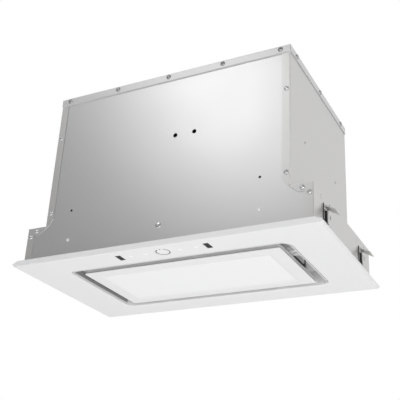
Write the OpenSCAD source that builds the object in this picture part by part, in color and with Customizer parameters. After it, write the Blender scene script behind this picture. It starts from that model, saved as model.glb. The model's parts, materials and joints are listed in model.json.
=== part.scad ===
// Built-in range hood that hangs in the floor of a 60 cm wall cabinet
// The origin is the middle of the bottom panel's underside, X to the right, Y to the rear, Z up

/* [Bottom panel] */
// Width of the bottom panel
panel_w = 525; // [518:1:560]
// Depth of the bottom panel
panel_d = 290; // [288:1:320]
// Height of the panel's folded edge
panel_h = 9; // [9:0.5:12]
// Lean of the panel's walls, outward at their top edge
panel_flare = 2.5; // [1:0.5:4]
// Width of the opening in the panel
opening_w = 386; // [376:1:396]
// Depth of the opening in the panel
opening_d = 192; // [184:1:194]
// Plan radius of the opening's corners
opening_r = 16; // [10:1:24]
// Shift of the opening and of the controls to the right
shift_x = 3; // [0:0.5:4]
// Shift of the opening to the rear
shift_y = 3; // [1:0.5:4]

/* [Body] */
// Width of the upper body
upper_w = 430; // [420:1:450]
// Width of the lower body
lower_w = 500; // [490:1:504]
// Depth over the front and rear panels
body_d = 275; // [270:1:278]
// Shift of the body to the rear
body_shift = 2.2; // [0:0.1:3]
// Height of the step between lower and upper body
step_z = 69; // [66:1:80]
// Height of the lid's top
lid_z = 314; // [310:1:360]
// Height of the lid's folded lip
lip_h = 13; // [12:0.5:18]
// Thickness of the sheet metal
sheet = 1; // [0.8:0.1:1.2]
// Width of the flanges folded over the front and rear
flange_w = 13; // [12:0.5:15]

/* [Suction flap] */
// Gap between the flap and the opening at its short sides
side_gap = 20; // [16:1:24]
// Gap between the flap and the opening at its long sides
long_gap = 15; // [14:0.5:17]
// Height of the flap's face over the panel's face
flap_z = 0.5; // [0:0.5:3]
// Width of the lamp window in the flap
lamp_w = 292; // [240:1:300]
// Depth of the lamp window in the flap
lamp_d = 112; // [90:1:116]

/* [Grease filter] */
// Width of the filter cassette
filter_w = 316; // [280:1:322]
// Depth of the filter cassette
filter_d = 146; // [130:1:150]
// Thickness of the filter cassette
filter_t = 10; // [9:0.5:12]

/* [Controls] */
// Radius of the round power button
button_r = 12.7; // [11:0.1:13]
// Travel of the power button
button_travel = 1; // [0.8:0.1:1.2]
// Distance of the sensor windows from the button
window_pitch = 76; // [60:1:80]
// Width of a sensor window
window_w = 9; // [7:0.5:12]
// Depth of a sensor window
window_d = 19; // [14:0.5:20]

/* [Fan] */
// Radius of the fan wheel
fan_r = 70; // [64:1:72]
// Width of the fan wheel
fan_w = 104; // [90:1:110]
// Radius of the motor
motor_r = 42; // [36:1:46]
// Radius of the motor shaft
shaft_r = 4; // [3:0.5:5]

/* [Duct outlet] */
// Outer radius of the collar, for a 150 mm duct
collar_r = 74.5; // [70:0.5:76]
// Height of the collar over the lid
collar_h = 40; // [34:1:46]

/* [Mounting clips] */
// Distance between the front and rear clips
clip_pitch = 174; // [150:1:180]
// Width of a clip's slot
clip_w = 22; // [20:1:28]
// Height of a clip's slot
clip_h = 26; // [25:1:32]
// Length of a clip's sprung wing
wing_l = 24; // [20:0.5:24]
// Angle of a wing under the horizontal
wing_angle = 30; // [27:1:45]

/* [Hidden] */
$fn = 48;
over = 1;
fit = 0.1;
gap = 0.3;
half = 0.5;

// The body's planes
body_front = body_shift - body_d / 2;
body_rear = body_shift + body_d / 2;
wall_x = upper_w / 2;
low_x = lower_w / 2;
body_top = lid_z - sheet;
lip_play = 0.2;
cut_play = 0.2;
foot_w = 8;
foot_side_w = 12;
mitre = flange_w - sheet;
relief_r = 1.2;
bridge_w = 3.5;

// The panel's rim under the body
rim_under_front = 11.5;
rim_under_side = 12;
rim_front_w = (panel_d - body_d) / 2 + rim_under_front;
rim_side_w = (panel_w - lower_w) / 2 + rim_under_side;
hem_h = 6;

// Screws
screw_head_r = 4;
screw_head_h = 2.4;
screw_shank_r = 1.7;
screw_hole_r = 1.9;
screw_l = 7;
recess_w = 1;
recess_l = 4.6;
recess_d = 1.2;
cone_share = 0.62;
lid_screw_down = 6;
lid_screw_z = lid_z - lid_screw_down;
lid_screw_xs = [-2, -1, 0, 1, 2];
lid_screw_pitch = 99.5;
side_screw_ys = [-1, 0, 1];
side_screw_pitch = 111;
// Places of the flange screws, from the flange's edge or from the body's planes
edge_screw_in = 6;
upper_screw_down = 80;
mid_screw_up = 22;
upper_screw_z = lid_z - upper_screw_down;
mid_screw_z = step_z + mid_screw_up;
step_screw_out = 18.3;
step_screw_down = 6.7;
low_screw_down = 16;

// Holes and studs of the front panel
stud_x = 167.5;
stud_z = 38.7;
stud_r = 2.7;
stud_h = 1.6;
stud_shank_r = 1.8;
small_hole_r = 2;
small_hole_z = 91;
big_hole_r = 3.8;
big_hole_down = 120.8;
big_hole_z = lid_z - big_hole_down;
big_hole_xs = [19.3, 53.4];
plug_z = 39.5;
plug_r = 5.3;
plug_h = 1.5;
plug_shank_r = 3.5;
plug_shank_l = 4;
side_hole_r = 1.9;
side_hole_down = 142;
side_hole_z = lid_z - side_hole_down;
side_hole_pitch = 148;

// Inner brackets between the body and the panel
bracket_w = 22;
bracket_t = 1.5;
bracket_h = 38;
bracket_foot = 11;
bracket_screw_in = 4.5;

// The white liner in the opening
liner_gap = 1.2;
liner_low = 0.6;
liner_z = 27;
liner_flange = 4;
liner_r = opening_r - liner_gap;
liner_w = opening_w - 2 * liner_gap;
liner_d = opening_d - 2 * liner_gap;
ceiling_z = liner_z - sheet;

// The flap
flap_w = opening_w - 2 * side_gap;
flap_d = opening_d - 2 * long_gap;
flap_r = 4;
plate_t = 1.2;
flap_h = 9;
flap_inset = 2;
frame_z = flap_z + plate_t;
flap_top = flap_z + flap_h;
lamp_r = 4;
diffuser_t = 2;
diffuser_lap = 6;
led_board_t = 1.6;
led_board_d = 18;
led_strip_y = 28;
led_w = 3.5;
led_h = 1;
led_pitch = 22;
led_count = 12;
led_board_l = 280;
flap_back = 2;
flap_y = shift_y + flap_back;
flap_rear = flap_y + flap_d / 2;
hinge_out = 2.5;
hinge_up = 7.5;
hinge_y = flap_rear + hinge_out;
hinge_z = flap_z + hinge_up;
hinge_pin_r = 2;
pin_play = 0.05;
hinge_bore = hinge_pin_r + pin_play;
hinge_eye_r = 3.5;
hinge_x = 110;
hinge_ear_t = 4;
hinge_cheek_t = 2;
hinge_play = 0.4;
hinge_plate_d = 14;
hinge_plate_t = 1.5;
hinge_ear_back = 12;

// Catches of the flap
catch_front = 29;
catch_y = flap_y - catch_front;
catch_d = 26;
catch_gap = 2;
catch_low = flap_top + catch_gap;
catch_in = 12;
catch_out = 8;
catch_edge_r = 4;
striker_in = 7;
striker_x = flap_w / 2 - striker_in;
striker_t = 2;
striker_d = 8;
striker_h = 7;
striker_play = 0.5;
catch_slot_d = 4;
catch_slot_h = 5;

// Connector of the lamp
plug_block_y = 16;
plug_block_w = 6;
plug_block_d = 10;
plug_block_low = 5;
plug_block_out = 1.5;

// The filter
filter_gap = 2;
filter_z = 20;
filter_skin = 1;
filter_border = 12;
filter_play = 0.3;
filter_top = filter_z + filter_t;
tongue_t = 1.5;
tongue_w = 24;
tongue_out = 8;
tongue_x = 100;
latch_w = 24;
latch_back = 20;
latch_travel = 6;
latch_out = 4;
latch_tab_w = 16;
latch_tab_t = 4;
latch_tab_low = 3;
latch_tab_back = 8;
latch_play = 0.4;
latch_bay_w = 40;
latch_bay_d = 30;
rib_count = 9;

// The controls
control_in = 24;
control_shift = 0.9;
control_y = control_in - panel_d / 2;
control_x = shift_x + control_shift;
button_play = 0.3;
button_low = 0.3;
button_flange = 1.5;
button_flange_t = 1;
button_stem_r = 3;
lens_r = 9.6;
lens_t = 0.8;
window_low = 0.2;
window_play = 0.2;
window_lap = 1;
light_w = 6;
light_d = 3;
light_offsets = [-57, -30, 30, 57];
board_t = 1.6;
housing_h = 6;
housing_wall = 1;
control_board_low = sheet + housing_h - housing_wall - board_t;
board_end = 10;
board_w = 2 * (window_pitch + board_end);
board_d = 23;

// The fan and its scroll
fan_front = 37;
fan_y = body_shift - fan_front;
fan_z = 150;
scroll_gap = 6;
scroll_growth = 34;
scroll_wall_t = 2;
scroll_end_angle = 290;
scroll_step_angle = 10;
scroll_side_gap = 3;
scroll_half = fan_w / 2 + scroll_side_gap;
scroll_out_r = fan_r + scroll_gap + scroll_growth;
outlet_box_h = 52;
neck_top = lid_z - outlet_box_h;
scroll_tongue_r = fan_r + scroll_gap + scroll_growth * (1 - scroll_end_angle / 360);
scroll_tongue_y = scroll_tongue_r * cos(scroll_end_angle);
inlet_in = 8;
inlet_r = fan_r - inlet_in;
inlet_lip = 3;
inlet_lip_h = 4;
blade_count = 24;
blade_t = 1;
blade_deep = 11;
blade_lean_angle = 25;
wheel_disc_t = 2;
wheel_ring_t = 2;
wheel_ring_w = 12;
hub_r = 9;
hub_l = 14;
motor_boss_r = 12;
motor_boss_l = 3;
hub_gap = 1;
motor_face = -hub_l / 2 - motor_boss_l - hub_gap;
motor_fin_count = 8;
motor_fin_w = 3;
motor_fin_deep = 2;
shaft_in = 20;
spider_t = 3;
spider_hub_r = 30;
spider_arm_w = 12;
spider_arm_out = 12;
spider_arm_count = 3;

// The outlet box under the lid
box_play = 4;
box_half_d = 80;
box_foot = 10;
box_front = body_shift - box_half_d;
box_rear = body_shift + box_half_d;
outlet_y = body_shift;
outlet_lap = 4;
outlet_hole_r = collar_r - outlet_lap;

// The collar
collar_wall = 2;
collar_flange_w = 12;
collar_flange_t = 2.5;
axle_r = 2;
axle_up = 9;
axle_z = lid_z + axle_up;
axle_boss_r = 4.5;
axle_boss_l = 3.5;
ledge_w = 3.5;
ledge_t = 1.5;
damper_t = 1;
damper_play = 1.2;
damper_bore_r = axle_r + pin_play;
knuckle_r = 3.2;
knuckle_l = 24;
knuckle_play = 0.5;
damper_back = axle_boss_r + damper_play / 2;
collar_screw_count = 4;
collar_screw_r = collar_r + collar_flange_w / 2;
box_w = 2 * (collar_screw_r * cos(45) + screw_hole_r + box_play);

// The electronics
ebox_x = 108;
ebox_w = 92;
ebox_d = 48;
ebox_z = 214;
ebox_h = 84;
ebox_wall = 2;
ebox_board_in = 6;
part_h = 12;
cap_r = 14;
cap_l = 56;
cap_gap = 8;
terminal_w = 34;
terminal_d = 12;
terminal_h = 14;
terminal_wire_r = 2;
gland_x = 150;
gland_y = 92;
gland_r = 9;
gland_nut_r = 12;
gland_nut_h = 5;
gland_out = 12;
gland_bore_r = 4;

// The clips
slot_top = 53;
clip_depth = 18;
clip_wall = 1.2;
clip_lip = 1.4;
wing_w = 18;
wing_t = 1.6;
wing_tooth = 1;
wing_tooth_w = 1.6;
wing_tooth_count = 4;
pivot_in = 2;
pivot_down = 3;
pivot_r = 1.25;
pivot_bore_r = pivot_r + pin_play;
wing_eye_r = 2.2;
wing_top = 1.9;
spring_w = 2.4;
spring_t = 0.8;
spring_in = 7;
clip_hole_r = 1;
clip_hole_y = 20.5;
clip_hole_up = 4;
clip_hole_pitch = 4;
clip_slot_w = 3;
clip_slot_h = 7;
clip_slot_y = 21.5;
clip_slot_down = 10.5;
clip_ear_w = 12;

// Plain shapes

module rounded(w, d, r) {
    square([w - 2 * r, d], center = true);
    square([w, d - 2 * r], center = true);
    for (sx = [-1, 1], sy = [-1, 1])
        translate([sx * (w / 2 - r), sy * (d / 2 - r)]) circle(r);
}

module slab(w, d, r, z0, z1) {
    translate([0, 0, z0]) linear_extrude(z1 - z0) rounded(w, d, r);
}

module block(x0, x1, y0, y1, z0, z1) {
    translate([x0, y0, z0]) cube([x1 - x0, y1 - y0, z1 - z0]);
}

module mirrored_x(side) {
    mirror([side < 0 ? 1 : 0, 0, 0]) children();
}

module at_opening() {
    translate([shift_x, shift_y, 0]) children();
}

module at_flap() {
    translate([shift_x, flap_y, 0]) children();
}

module screw(l) {
    difference() {
        union() {
            cylinder(r = screw_head_r, h = screw_head_h / 2);
            translate([0, 0, screw_head_h / 2])
                cylinder(r1 = screw_head_r, r2 = screw_head_r * cone_share, h = screw_head_h / 2);
            translate([0, 0, -l]) cylinder(r = screw_shank_r, h = l);
        }
        for (turn = [0, 90])
            rotate([0, 0, turn])
                translate([-recess_l / 2, -recess_w / 2, screw_head_h - recess_d])
                    cube([recess_l, recess_w, recess_d + over]);
    }
}

// Stands its children on the front face, pointing out of it
module on_front(x, y, z) {
    translate([x, y, z]) rotate([90, 0, 0]) children();
}

module on_rear(x, y, z) {
    translate([x, y, z]) rotate([-90, 0, 0]) children();
}

module on_side(side, x, y, z) {
    translate([x, y, z]) rotate([0, 90 * side, 0]) children();
}

// Bottom panel

// A block between two heights whose walls lean out as the panel's do; w and d are its sizes at z = 0
module tray(w, d, low, high) {
    intersection() {
        rotate([90, 0, 0]) linear_extrude(2 * d, center = true) lean(w, low, high);
        rotate([90, 0, 90]) linear_extrude(2 * w, center = true) lean(d, low, high);
    }
}

module lean(w, low, high) {
    a = w / 2 + panel_flare * low / panel_h;
    b = w / 2 + panel_flare * high / panel_h;
    polygon([[-a, low], [a, low], [b, high], [-b, high]]);
}

module panel_frame() {
    color("whitesmoke") difference() {
        union() {
            difference() {
                tray(panel_w, panel_d, 0, panel_h);
                tray(panel_w - 2 * sheet, panel_d - 2 * sheet, sheet, panel_h - sheet);
                translate([0, 0, panel_h - sheet - over])
                    linear_extrude(sheet + 2 * over)
                        square([panel_w - 2 * rim_side_w, panel_d - 2 * rim_front_w], center = true);
            }
            at_opening() slab(opening_w + 2 * sheet, opening_d + 2 * sheet, opening_r + sheet, 0, hem_h);
        }
        at_opening() slab(opening_w, opening_d, opening_r, -over, panel_h + over);
        translate([control_x, control_y, -over])
            cylinder(r = button_r + button_play, h = sheet + 2 * over);
        for (side = [-1, 1])
            translate([control_x + side * window_pitch, control_y, -over])
                linear_extrude(sheet + 2 * over)
                    square([window_w + 2 * window_play, window_d + 2 * window_play], center = true);
        for (place = light_offsets)
            translate([control_x + place, control_y, -over])
                linear_extrude(sheet + 2 * over)
                    square([light_w + 2 * window_play, light_d + 2 * window_play], center = true);
        panel_screw_holes();
    }
}

module recess_liner() {
    hole_w = filter_w + 2 * filter_gap;
    hole_d = filter_d + 2 * filter_gap;
    color("white") at_opening() difference() {
        union() {
            slab(liner_w, liner_d, liner_r, liner_low, liner_z);
            slab(opening_w + 2 * liner_flange, opening_d + 2 * liner_flange, opening_r + liner_flange,
                hem_h, hem_h + sheet);
        }
        slab(liner_w - 2 * sheet, liner_d - 2 * sheet, liner_r - sheet, liner_low - over, ceiling_z);
        translate([0, 0, ceiling_z - over])
            linear_extrude(sheet + 2 * over) square([hole_w, hole_d], center = true);
    }
}

// Body of sheet metal

function body_outline(inset) = [
    [-low_x + inset, panel_h], [low_x - inset, panel_h], [low_x - inset, step_z - inset],
    [wall_x - inset, step_z - inset], [wall_x - inset, body_top], [-wall_x + inset, body_top],
    [-wall_x + inset, step_z - inset], [-low_x + inset, step_z - inset]
];

module face_sheet() {
    rotate([90, 0, 0])
        translate([0, 0, -sheet])
            linear_extrude(sheet) polygon(body_outline(sheet + cut_play));
}

module face_foot(y0, y1) {
    block(-low_x + foot_side_w + cut_play, low_x - foot_side_w - cut_play, y0, y1, panel_h,
        panel_h + sheet);
}

module flange_screw_places() {
    for (side = [-1, 1]) {
        translate([side * (wall_x - edge_screw_in), 0, upper_screw_z]) children();
        translate([side * (wall_x - edge_screw_in), 0, mid_screw_z]) children();
        translate([side * (wall_x + step_screw_out), 0, step_z - step_screw_down]) children();
        translate([side * (low_x - edge_screw_in), 0, step_z - low_screw_down]) children();
    }
}

module drill_y(r) {
    rotate([90, 0, 0]) cylinder(r = r, h = body_d + 8 * over + 4 * lip_h, center = true);
}

module flange_screw_holes() {
    translate([0, body_shift, 0]) flange_screw_places() drill_y(screw_hole_r);
}

module lid_screw_holes() {
    for (i = lid_screw_xs)
        translate([i * lid_screw_pitch, body_shift, lid_screw_z]) drill_y(screw_hole_r);
    for (i = side_screw_ys)
        translate([0, body_shift + i * side_screw_pitch, lid_screw_z])
            rotate([0, 90, 0]) cylinder(r = screw_hole_r, h = upper_w + 4 * lip_h, center = true);
}

module stud_places() {
    for (side = [-1, 1]) translate([side * stud_x, 0, stud_z]) children();
}

module panel_screw_holes() {
    panel_screw_places() cylinder(r = screw_hole_r, h = panel_h, center = true);
}

module panel_screw_places() {
    for (side = [-1, 1]) {
        translate([side * stud_x, body_front + sheet + bracket_t + bracket_screw_in, panel_h]) children();
        translate([side * stud_x, body_rear - sheet - bracket_t - bracket_screw_in, panel_h]) children();
    }
}

module front_panel() {
    color("gainsboro") difference() {
        union() {
            translate([0, body_front, 0]) face_sheet();
            face_foot(body_front + sheet - sheet / 2, body_front + sheet + foot_w);
        }
        for (x = big_hole_xs) translate([x, body_front, big_hole_z]) drill_y(big_hole_r);
        for (side = [-1, 1])
            translate([side * stud_x, body_front, small_hole_z]) drill_y(small_hole_r);
        translate([0, body_front, 0]) stud_places() drill_y(stud_shank_r + fit);
        translate([0, body_front, plug_z]) drill_y(plug_shank_r + fit);
        flange_screw_holes();
        lid_screw_holes();
        panel_screw_holes();
    }
}

module rear_panel() {
    color("silver") difference() {
        union() {
            translate([0, body_rear - sheet, 0]) face_sheet();
            face_foot(body_rear - sheet - foot_w, body_rear - sheet / 2);
        }
        translate([0, body_rear, 0]) stud_places() drill_y(stud_shank_r + fit);
        flange_screw_holes();
        lid_screw_holes();
        panel_screw_holes();
    }
}

module folded_side() {
    outline = [
        [low_x, panel_h], [low_x, step_z], [wall_x, step_z], [wall_x, body_top],
        [wall_x - sheet, body_top], [wall_x - sheet, step_z - sheet], [low_x - sheet, step_z - sheet],
        [low_x - sheet, panel_h]
    ];
    translate([0, body_rear, 0])
        rotate([90, 0, 0]) linear_extrude(body_d) polygon(outline);
    block(low_x - foot_side_w, low_x - sheet / 2, body_front + sheet + cut_play,
        body_rear - sheet - cut_play, panel_h, panel_h + sheet);
}

module side_flange() {
    outline = [
        [low_x, panel_h], [low_x, step_z], [wall_x, step_z], [wall_x, body_top],
        [wall_x - flange_w, body_top], [wall_x - flange_w, step_z + mitre], [wall_x - bridge_w, step_z],
        [wall_x, step_z - bridge_w], [wall_x + mitre, step_z - flange_w],
        [low_x - flange_w, step_z - flange_w], [low_x - flange_w, panel_h]
    ];
    rotate([90, 0, 0]) linear_extrude(sheet) difference() {
        polygon(outline);
        translate([wall_x, step_z]) circle(relief_r);
    }
}

module clip_places() {
    for (row = [-1, 1]) translate([0, body_shift + row * clip_pitch / 2, 0]) children();
}

module side_panel() {
    difference() {
        union() {
            folded_side();
            translate([0, body_front, 0]) side_flange();
            translate([0, body_rear + sheet, 0]) side_flange();
        }
        flange_screw_holes();
        lid_screw_holes();
        for (row = [-1, 1])
            on_side(1, wall_x, body_shift + row * side_hole_pitch / 2, side_hole_z)
                cylinder(r = side_hole_r, h = 4 * sheet, center = true);
        clip_places() clip_cuts();
    }
}

module clip_cuts() {
    block(low_x - 2 * sheet, low_x + over, -clip_w / 2, clip_w / 2, slot_top - clip_h, slot_top);
    for (up = [0, clip_hole_pitch])
        on_side(1, low_x, -clip_hole_y, slot_top + clip_hole_up + up)
            cylinder(r = clip_hole_r, h = 4 * sheet, center = true);
    block(low_x - 2 * sheet, low_x + over, clip_slot_y - clip_slot_w / 2, clip_slot_y + clip_slot_w / 2,
        slot_top - clip_slot_down - clip_slot_h / 2, slot_top - clip_slot_down + clip_slot_h / 2);
    on_side(1, low_x, clip_hole_y, slot_top - clip_h + over)
        cylinder(r = clip_hole_r, h = 4 * sheet, center = true);
}

module side_panel_left() {
    color("silver") mirrored_x(-1) side_panel();
}

module side_panel_right() {
    color("silver") side_panel();
}

module top_cover() {
    lid_w = upper_w + 2 * lip_play + 2 * sheet;
    lid_d = body_d + 2 * sheet + 2 * lip_play + 2 * sheet;
    color("whitesmoke") difference() {
        translate([-lid_w / 2, body_shift - lid_d / 2, lid_z - lip_h]) cube([lid_w, lid_d, lip_h]);
        translate([-lid_w / 2 + sheet, body_shift - lid_d / 2 + sheet, lid_z - lip_h - over])
            cube([lid_w - 2 * sheet, lid_d - 2 * sheet, lip_h + over - sheet]);
        translate([0, outlet_y, lid_z - 2 * sheet]) cylinder(r = outlet_hole_r, h = 4 * sheet);
        translate([gland_x, gland_y, lid_z - 2 * sheet]) cylinder(r = gland_r + fit, h = 4 * sheet);
        collar_screw_holes();
        lid_screw_holes();
    }
}

module lid_screws() {
    lip_front = body_front - 2 * sheet - lip_play;
    lip_rear = body_rear + 2 * sheet + lip_play;
    color("dimgray") {
        for (i = lid_screw_xs) {
            on_front(i * lid_screw_pitch, lip_front, lid_screw_z) screw(screw_l);
            on_rear(i * lid_screw_pitch, lip_rear, lid_screw_z) screw(screw_l);
        }
        for (side = [-1, 1], i = side_screw_ys)
            on_side(side, side * (wall_x + lip_play + sheet), body_shift + i * side_screw_pitch,
                lid_screw_z) screw(screw_l);
    }
}

module zinc_screws() {
    color("lightgray") {
        translate([0, body_front - sheet, 0]) flange_screw_places() rotate([90, 0, 0]) screw(screw_l);
        translate([0, body_rear + sheet, 0]) flange_screw_places() rotate([-90, 0, 0]) screw(screw_l);
        panel_screw_places() translate([0, 0, sheet + bracket_t]) screw(screw_l);
        collar_screw_places() translate([0, 0, collar_flange_t]) screw(screw_l);
    }
}

module stud() {
    cylinder(r = stud_r, h = stud_h / 2);
    translate([0, 0, stud_h / 2]) cylinder(r1 = stud_r, r2 = stud_r * cone_share, h = stud_h / 2);
    translate([0, 0, -sheet - bracket_t]) cylinder(r = stud_shank_r, h = sheet + bracket_t);
}

module panel_studs() {
    color("white") {
        translate([0, body_front, 0]) stud_places() rotate([90, 0, 0]) stud();
        translate([0, body_rear, 0]) stud_places() rotate([-90, 0, 0]) stud();
    }
}

module bracket() {
    difference() {
        union() {
            block(-bracket_w / 2, bracket_w / 2, 0, bracket_t, panel_h + sheet,
                panel_h + sheet + bracket_h);
            block(-bracket_w / 2, bracket_w / 2, 0, bracket_t + bracket_foot, panel_h + sheet,
                panel_h + sheet + bracket_t);
        }
        translate([0, 0, stud_z]) rotate([90, 0, 0])
            cylinder(r = stud_shank_r + fit, h = 4 * bracket_foot, center = true);
        translate([0, bracket_t + bracket_screw_in, panel_h])
            cylinder(r = screw_hole_r, h = 4 * bracket_t, center = true);
    }
}

module panel_brackets() {
    color("lightgray") for (side = [-1, 1]) {
        translate([side * stud_x, body_front + sheet, 0]) bracket();
        translate([side * stud_x, body_rear - sheet, 0]) mirror([0, 1, 0]) bracket();
    }
}

module centre_plug() {
    color("lightgray") on_front(0, body_front, plug_z) {
        cylinder(r = plug_r, h = plug_h);
        translate([0, 0, -plug_shank_l]) cylinder(r = plug_shank_r, h = plug_shank_l);
    }
}

// Duct outlet

module collar_screw_places() {
    for (i = [0 : collar_screw_count - 1])
        translate([0, outlet_y, lid_z]) rotate([0, 0, 45 + i * 360 / collar_screw_count])
            translate([collar_screw_r, 0, 0]) children();
}

module collar_screw_holes() {
    collar_screw_places() cylinder(r = screw_hole_r, h = 4 * collar_flange_t, center = true);
}

module duct_collar() {
    inner = collar_r - collar_wall;
    color("#2b2b2d") difference() {
        union() {
            translate([0, outlet_y, lid_z]) difference() {
                union() {
                    cylinder(r = collar_r + collar_flange_w, h = collar_flange_t);
                    cylinder(r = collar_r, h = collar_h);
                }
                translate([0, 0, -over]) cylinder(r = inner, h = collar_h + 2 * over);
            }
            difference() {
                translate([0, outlet_y, axle_z - damper_t / 2 - ledge_t - gap]) difference() {
                    cylinder(r = inner + collar_wall / 2, h = ledge_t);
                    translate([0, 0, -over]) cylinder(r = inner - ledge_w, h = ledge_t + 2 * over);
                }
                block(-collar_r, collar_r, outlet_y - axle_boss_r, outlet_y + axle_boss_r, lid_z,
                    lid_z + collar_h);
            }
            for (side = [-1, 1])
                on_side(side, side * (inner - axle_boss_l), outlet_y, axle_z)
                    cylinder(r = axle_boss_r, h = axle_boss_l + collar_wall / 2);
        }
        translate([0, outlet_y, axle_z]) rotate([0, 90, 0])
            cylinder(r = axle_r + fit / 10, h = 2 * inner + collar_wall, center = true);
        collar_screw_holes();
    }
}

module damper_axle() {
    axle_l = 2 * (collar_r - collar_wall);
    color("lightgray") translate([0, outlet_y, axle_z]) rotate([0, 90, 0])
        cylinder(r = axle_r, h = axle_l, center = true);
}

// One half of the damper: the plate on one side of the axle, and its knuckles
module damper(side) {
    r = collar_r - collar_wall - damper_play;
    knuckles = side > 0 ? [-1, 1] : [0];
    spacing = knuckle_l + knuckle_play;
    translate([0, outlet_y, axle_z]) difference() {
        union() {
            difference() {
                translate([0, 0, -damper_t / 2]) cylinder(r = r, h = damper_t);
                block(-r - over, r + over, -r - over, damper_back, -over, over);
            }
            for (k = knuckles)
                translate([k * spacing, 0, 0]) {
                    rotate([0, 90, 0]) cylinder(r = knuckle_r, h = knuckle_l, center = true);
                    block(-knuckle_l / 2, knuckle_l / 2, 0, damper_back + over, -damper_t / 2,
                        damper_t / 2);
                }
        }
        rotate([0, 90, 0]) cylinder(r = damper_bore_r, h = 2 * r, center = true);
    }
}

module damper_flap_front() {
    color("#3a3a3c") translate([0, 2 * outlet_y, 0]) mirror([0, 1, 0]) damper(-1);
}

module damper_flap_rear() {
    color("#3a3a3c") damper(1);
}

// Outlet box, scroll and fan

module outlet_box() {
    neck_front = fan_y + scroll_tongue_y;
    neck_rear = fan_y + scroll_out_r;
    color("lightgray") difference() {
        union() {
            block(-box_w / 2, box_w / 2, box_front, box_rear, neck_top, body_top);
            block(-box_w / 2 - box_foot, box_w / 2 + box_foot, box_front - box_foot, box_rear + box_foot,
                body_top - sheet, body_top);
        }
        block(-box_w / 2 + sheet, box_w / 2 - sheet, box_front + sheet, box_rear - sheet,
            neck_top + sheet, body_top + over);
        block(-scroll_half, scroll_half, neck_front + scroll_wall_t, neck_rear - scroll_wall_t,
            neck_top - over, neck_top + 2 * sheet);
    }
}

function scroll_r(a) = fan_r + scroll_gap + scroll_growth * (1 - a / 360);
function scroll_point(a, w) = (scroll_r(a) - w) * [cos(a), -sin(a)];
function scroll_outline(w, up) = concat(
    [for (a = [0 : scroll_step_angle : scroll_end_angle]) scroll_point(a, w)],
    [[scroll_tongue_y + w, up], [scroll_out_r - w, up]]
);

// Turns an outline in Y and Z into a solid along X
module along_x(x0, x1) {
    translate([x0, fan_y, fan_z]) rotate([90, 0, 90]) linear_extrude(x1 - x0) children();
}

module scroll_wall() {
    up = neck_top - fan_z;
    color("lightgray") difference() {
        along_x(-scroll_half, scroll_half) polygon(scroll_outline(0, up));
        along_x(-scroll_half - over, scroll_half + over)
            polygon(scroll_outline(scroll_wall_t, up + over));
    }
}

module scroll_side(lip) {
    up = neck_top - fan_z;
    difference() {
        union() {
            along_x(scroll_half, scroll_half + scroll_wall_t) polygon(scroll_outline(0, up));
            along_x(scroll_half, scroll_half + scroll_wall_t + lip) circle(inlet_r + inlet_lip);
        }
        along_x(scroll_half - over, scroll_half + scroll_wall_t + lip + over) circle(inlet_r);
    }
}

module scroll_side_left() {
    color("silver") mirrored_x(-1) scroll_side(0);
}

module scroll_side_right() {
    color("silver") scroll_side(inlet_lip_h);
}

module impeller() {
    color("#4a4d50") difference() {
        union() {
            along_x(-wheel_disc_t / 2, wheel_disc_t / 2) circle(fan_r - blade_t);
            along_x(-hub_l / 2, hub_l / 2) circle(hub_r);
        }
        along_x(-hub_l, hub_l) circle(shaft_r);
        blades();
    }
}

module blades() {
    for (i = [0 : blade_count - 1])
        along_x(-fan_w / 2 + wheel_ring_t, fan_w / 2 - wheel_ring_t)
            rotate(i * 360 / blade_count) translate([fan_r - blade_deep, 0])
                rotate(blade_lean_angle) square([blade_deep - blade_t, blade_t]);
}

module fan_blades() {
    color("#4a4d50") blades();
}

module fan_rings() {
    color("#4a4d50") for (side = [-1, 1])
        translate([side * (fan_w - wheel_ring_t) / 2, 0, 0])
            along_x(-wheel_ring_t / 2, wheel_ring_t / 2) difference() {
                circle(fan_r);
                circle(fan_r - wheel_ring_w);
            }
}

module motor_shaft() {
    color("lightgray") along_x(-hub_l / 2 - motor_boss_l - shaft_in, hub_l / 2) circle(shaft_r);
}

module motor() {
    color("silver") difference() {
        union() {
            along_x(-scroll_half - scroll_wall_t, motor_face) circle(motor_r);
            along_x(motor_face, motor_face + motor_boss_l) circle(motor_boss_r);
        }
        along_x(motor_face - shaft_in - over, over) circle(shaft_r + pin_play);
        for (i = [0 : motor_fin_count - 1])
            along_x(-scroll_half + motor_fin_w, motor_face - motor_fin_w)
                rotate(i * 360 / motor_fin_count) translate([motor_r - motor_fin_deep, -motor_fin_w / 2])
                    square([2 * motor_fin_deep, motor_fin_w]);
    }
}

module motor_bracket() {
    x1 = -scroll_half - scroll_wall_t;
    color("gray") along_x(x1 - spider_t, x1) {
        circle(spider_hub_r);
        for (i = [0 : spider_arm_count - 1])
            rotate(30 + i * 360 / spider_arm_count) translate([0, -spider_arm_w / 2])
                square([inlet_r + spider_arm_out, spider_arm_w]);
    }
}

// Electronics

module electronics_box() {
    y0 = body_front + sheet;
    color("#d8d8d2") difference() {
        block(ebox_x, ebox_x + ebox_w, y0, y0 + ebox_d, ebox_z, ebox_z + ebox_h);
        block(ebox_x + ebox_wall, ebox_x + ebox_w - ebox_wall, y0 + ebox_wall, y0 + ebox_d + over,
            ebox_z + ebox_wall, ebox_z + ebox_h - ebox_wall);
    }
}

module electronics_cover() {
    y1 = body_front + sheet + ebox_d;
    color("#c4c4be") block(ebox_x, ebox_x + ebox_w, y1, y1 + ebox_wall, ebox_z, ebox_z + ebox_h);
}

module power_board() {
    y0 = body_front + sheet + ebox_wall;
    color("darkgreen") {
        block(ebox_x + ebox_board_in, ebox_x + ebox_w - ebox_board_in, y0, y0 + board_t,
            ebox_z + ebox_board_in, ebox_z + ebox_h - ebox_board_in);
        for (i = [1, 3, 5])
            block(ebox_x + i * part_h, ebox_x + (i + 1) * part_h, y0, y0 + board_t + part_h,
                ebox_z + 2 * part_h, ebox_z + 4 * part_h);
    }
}

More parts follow.
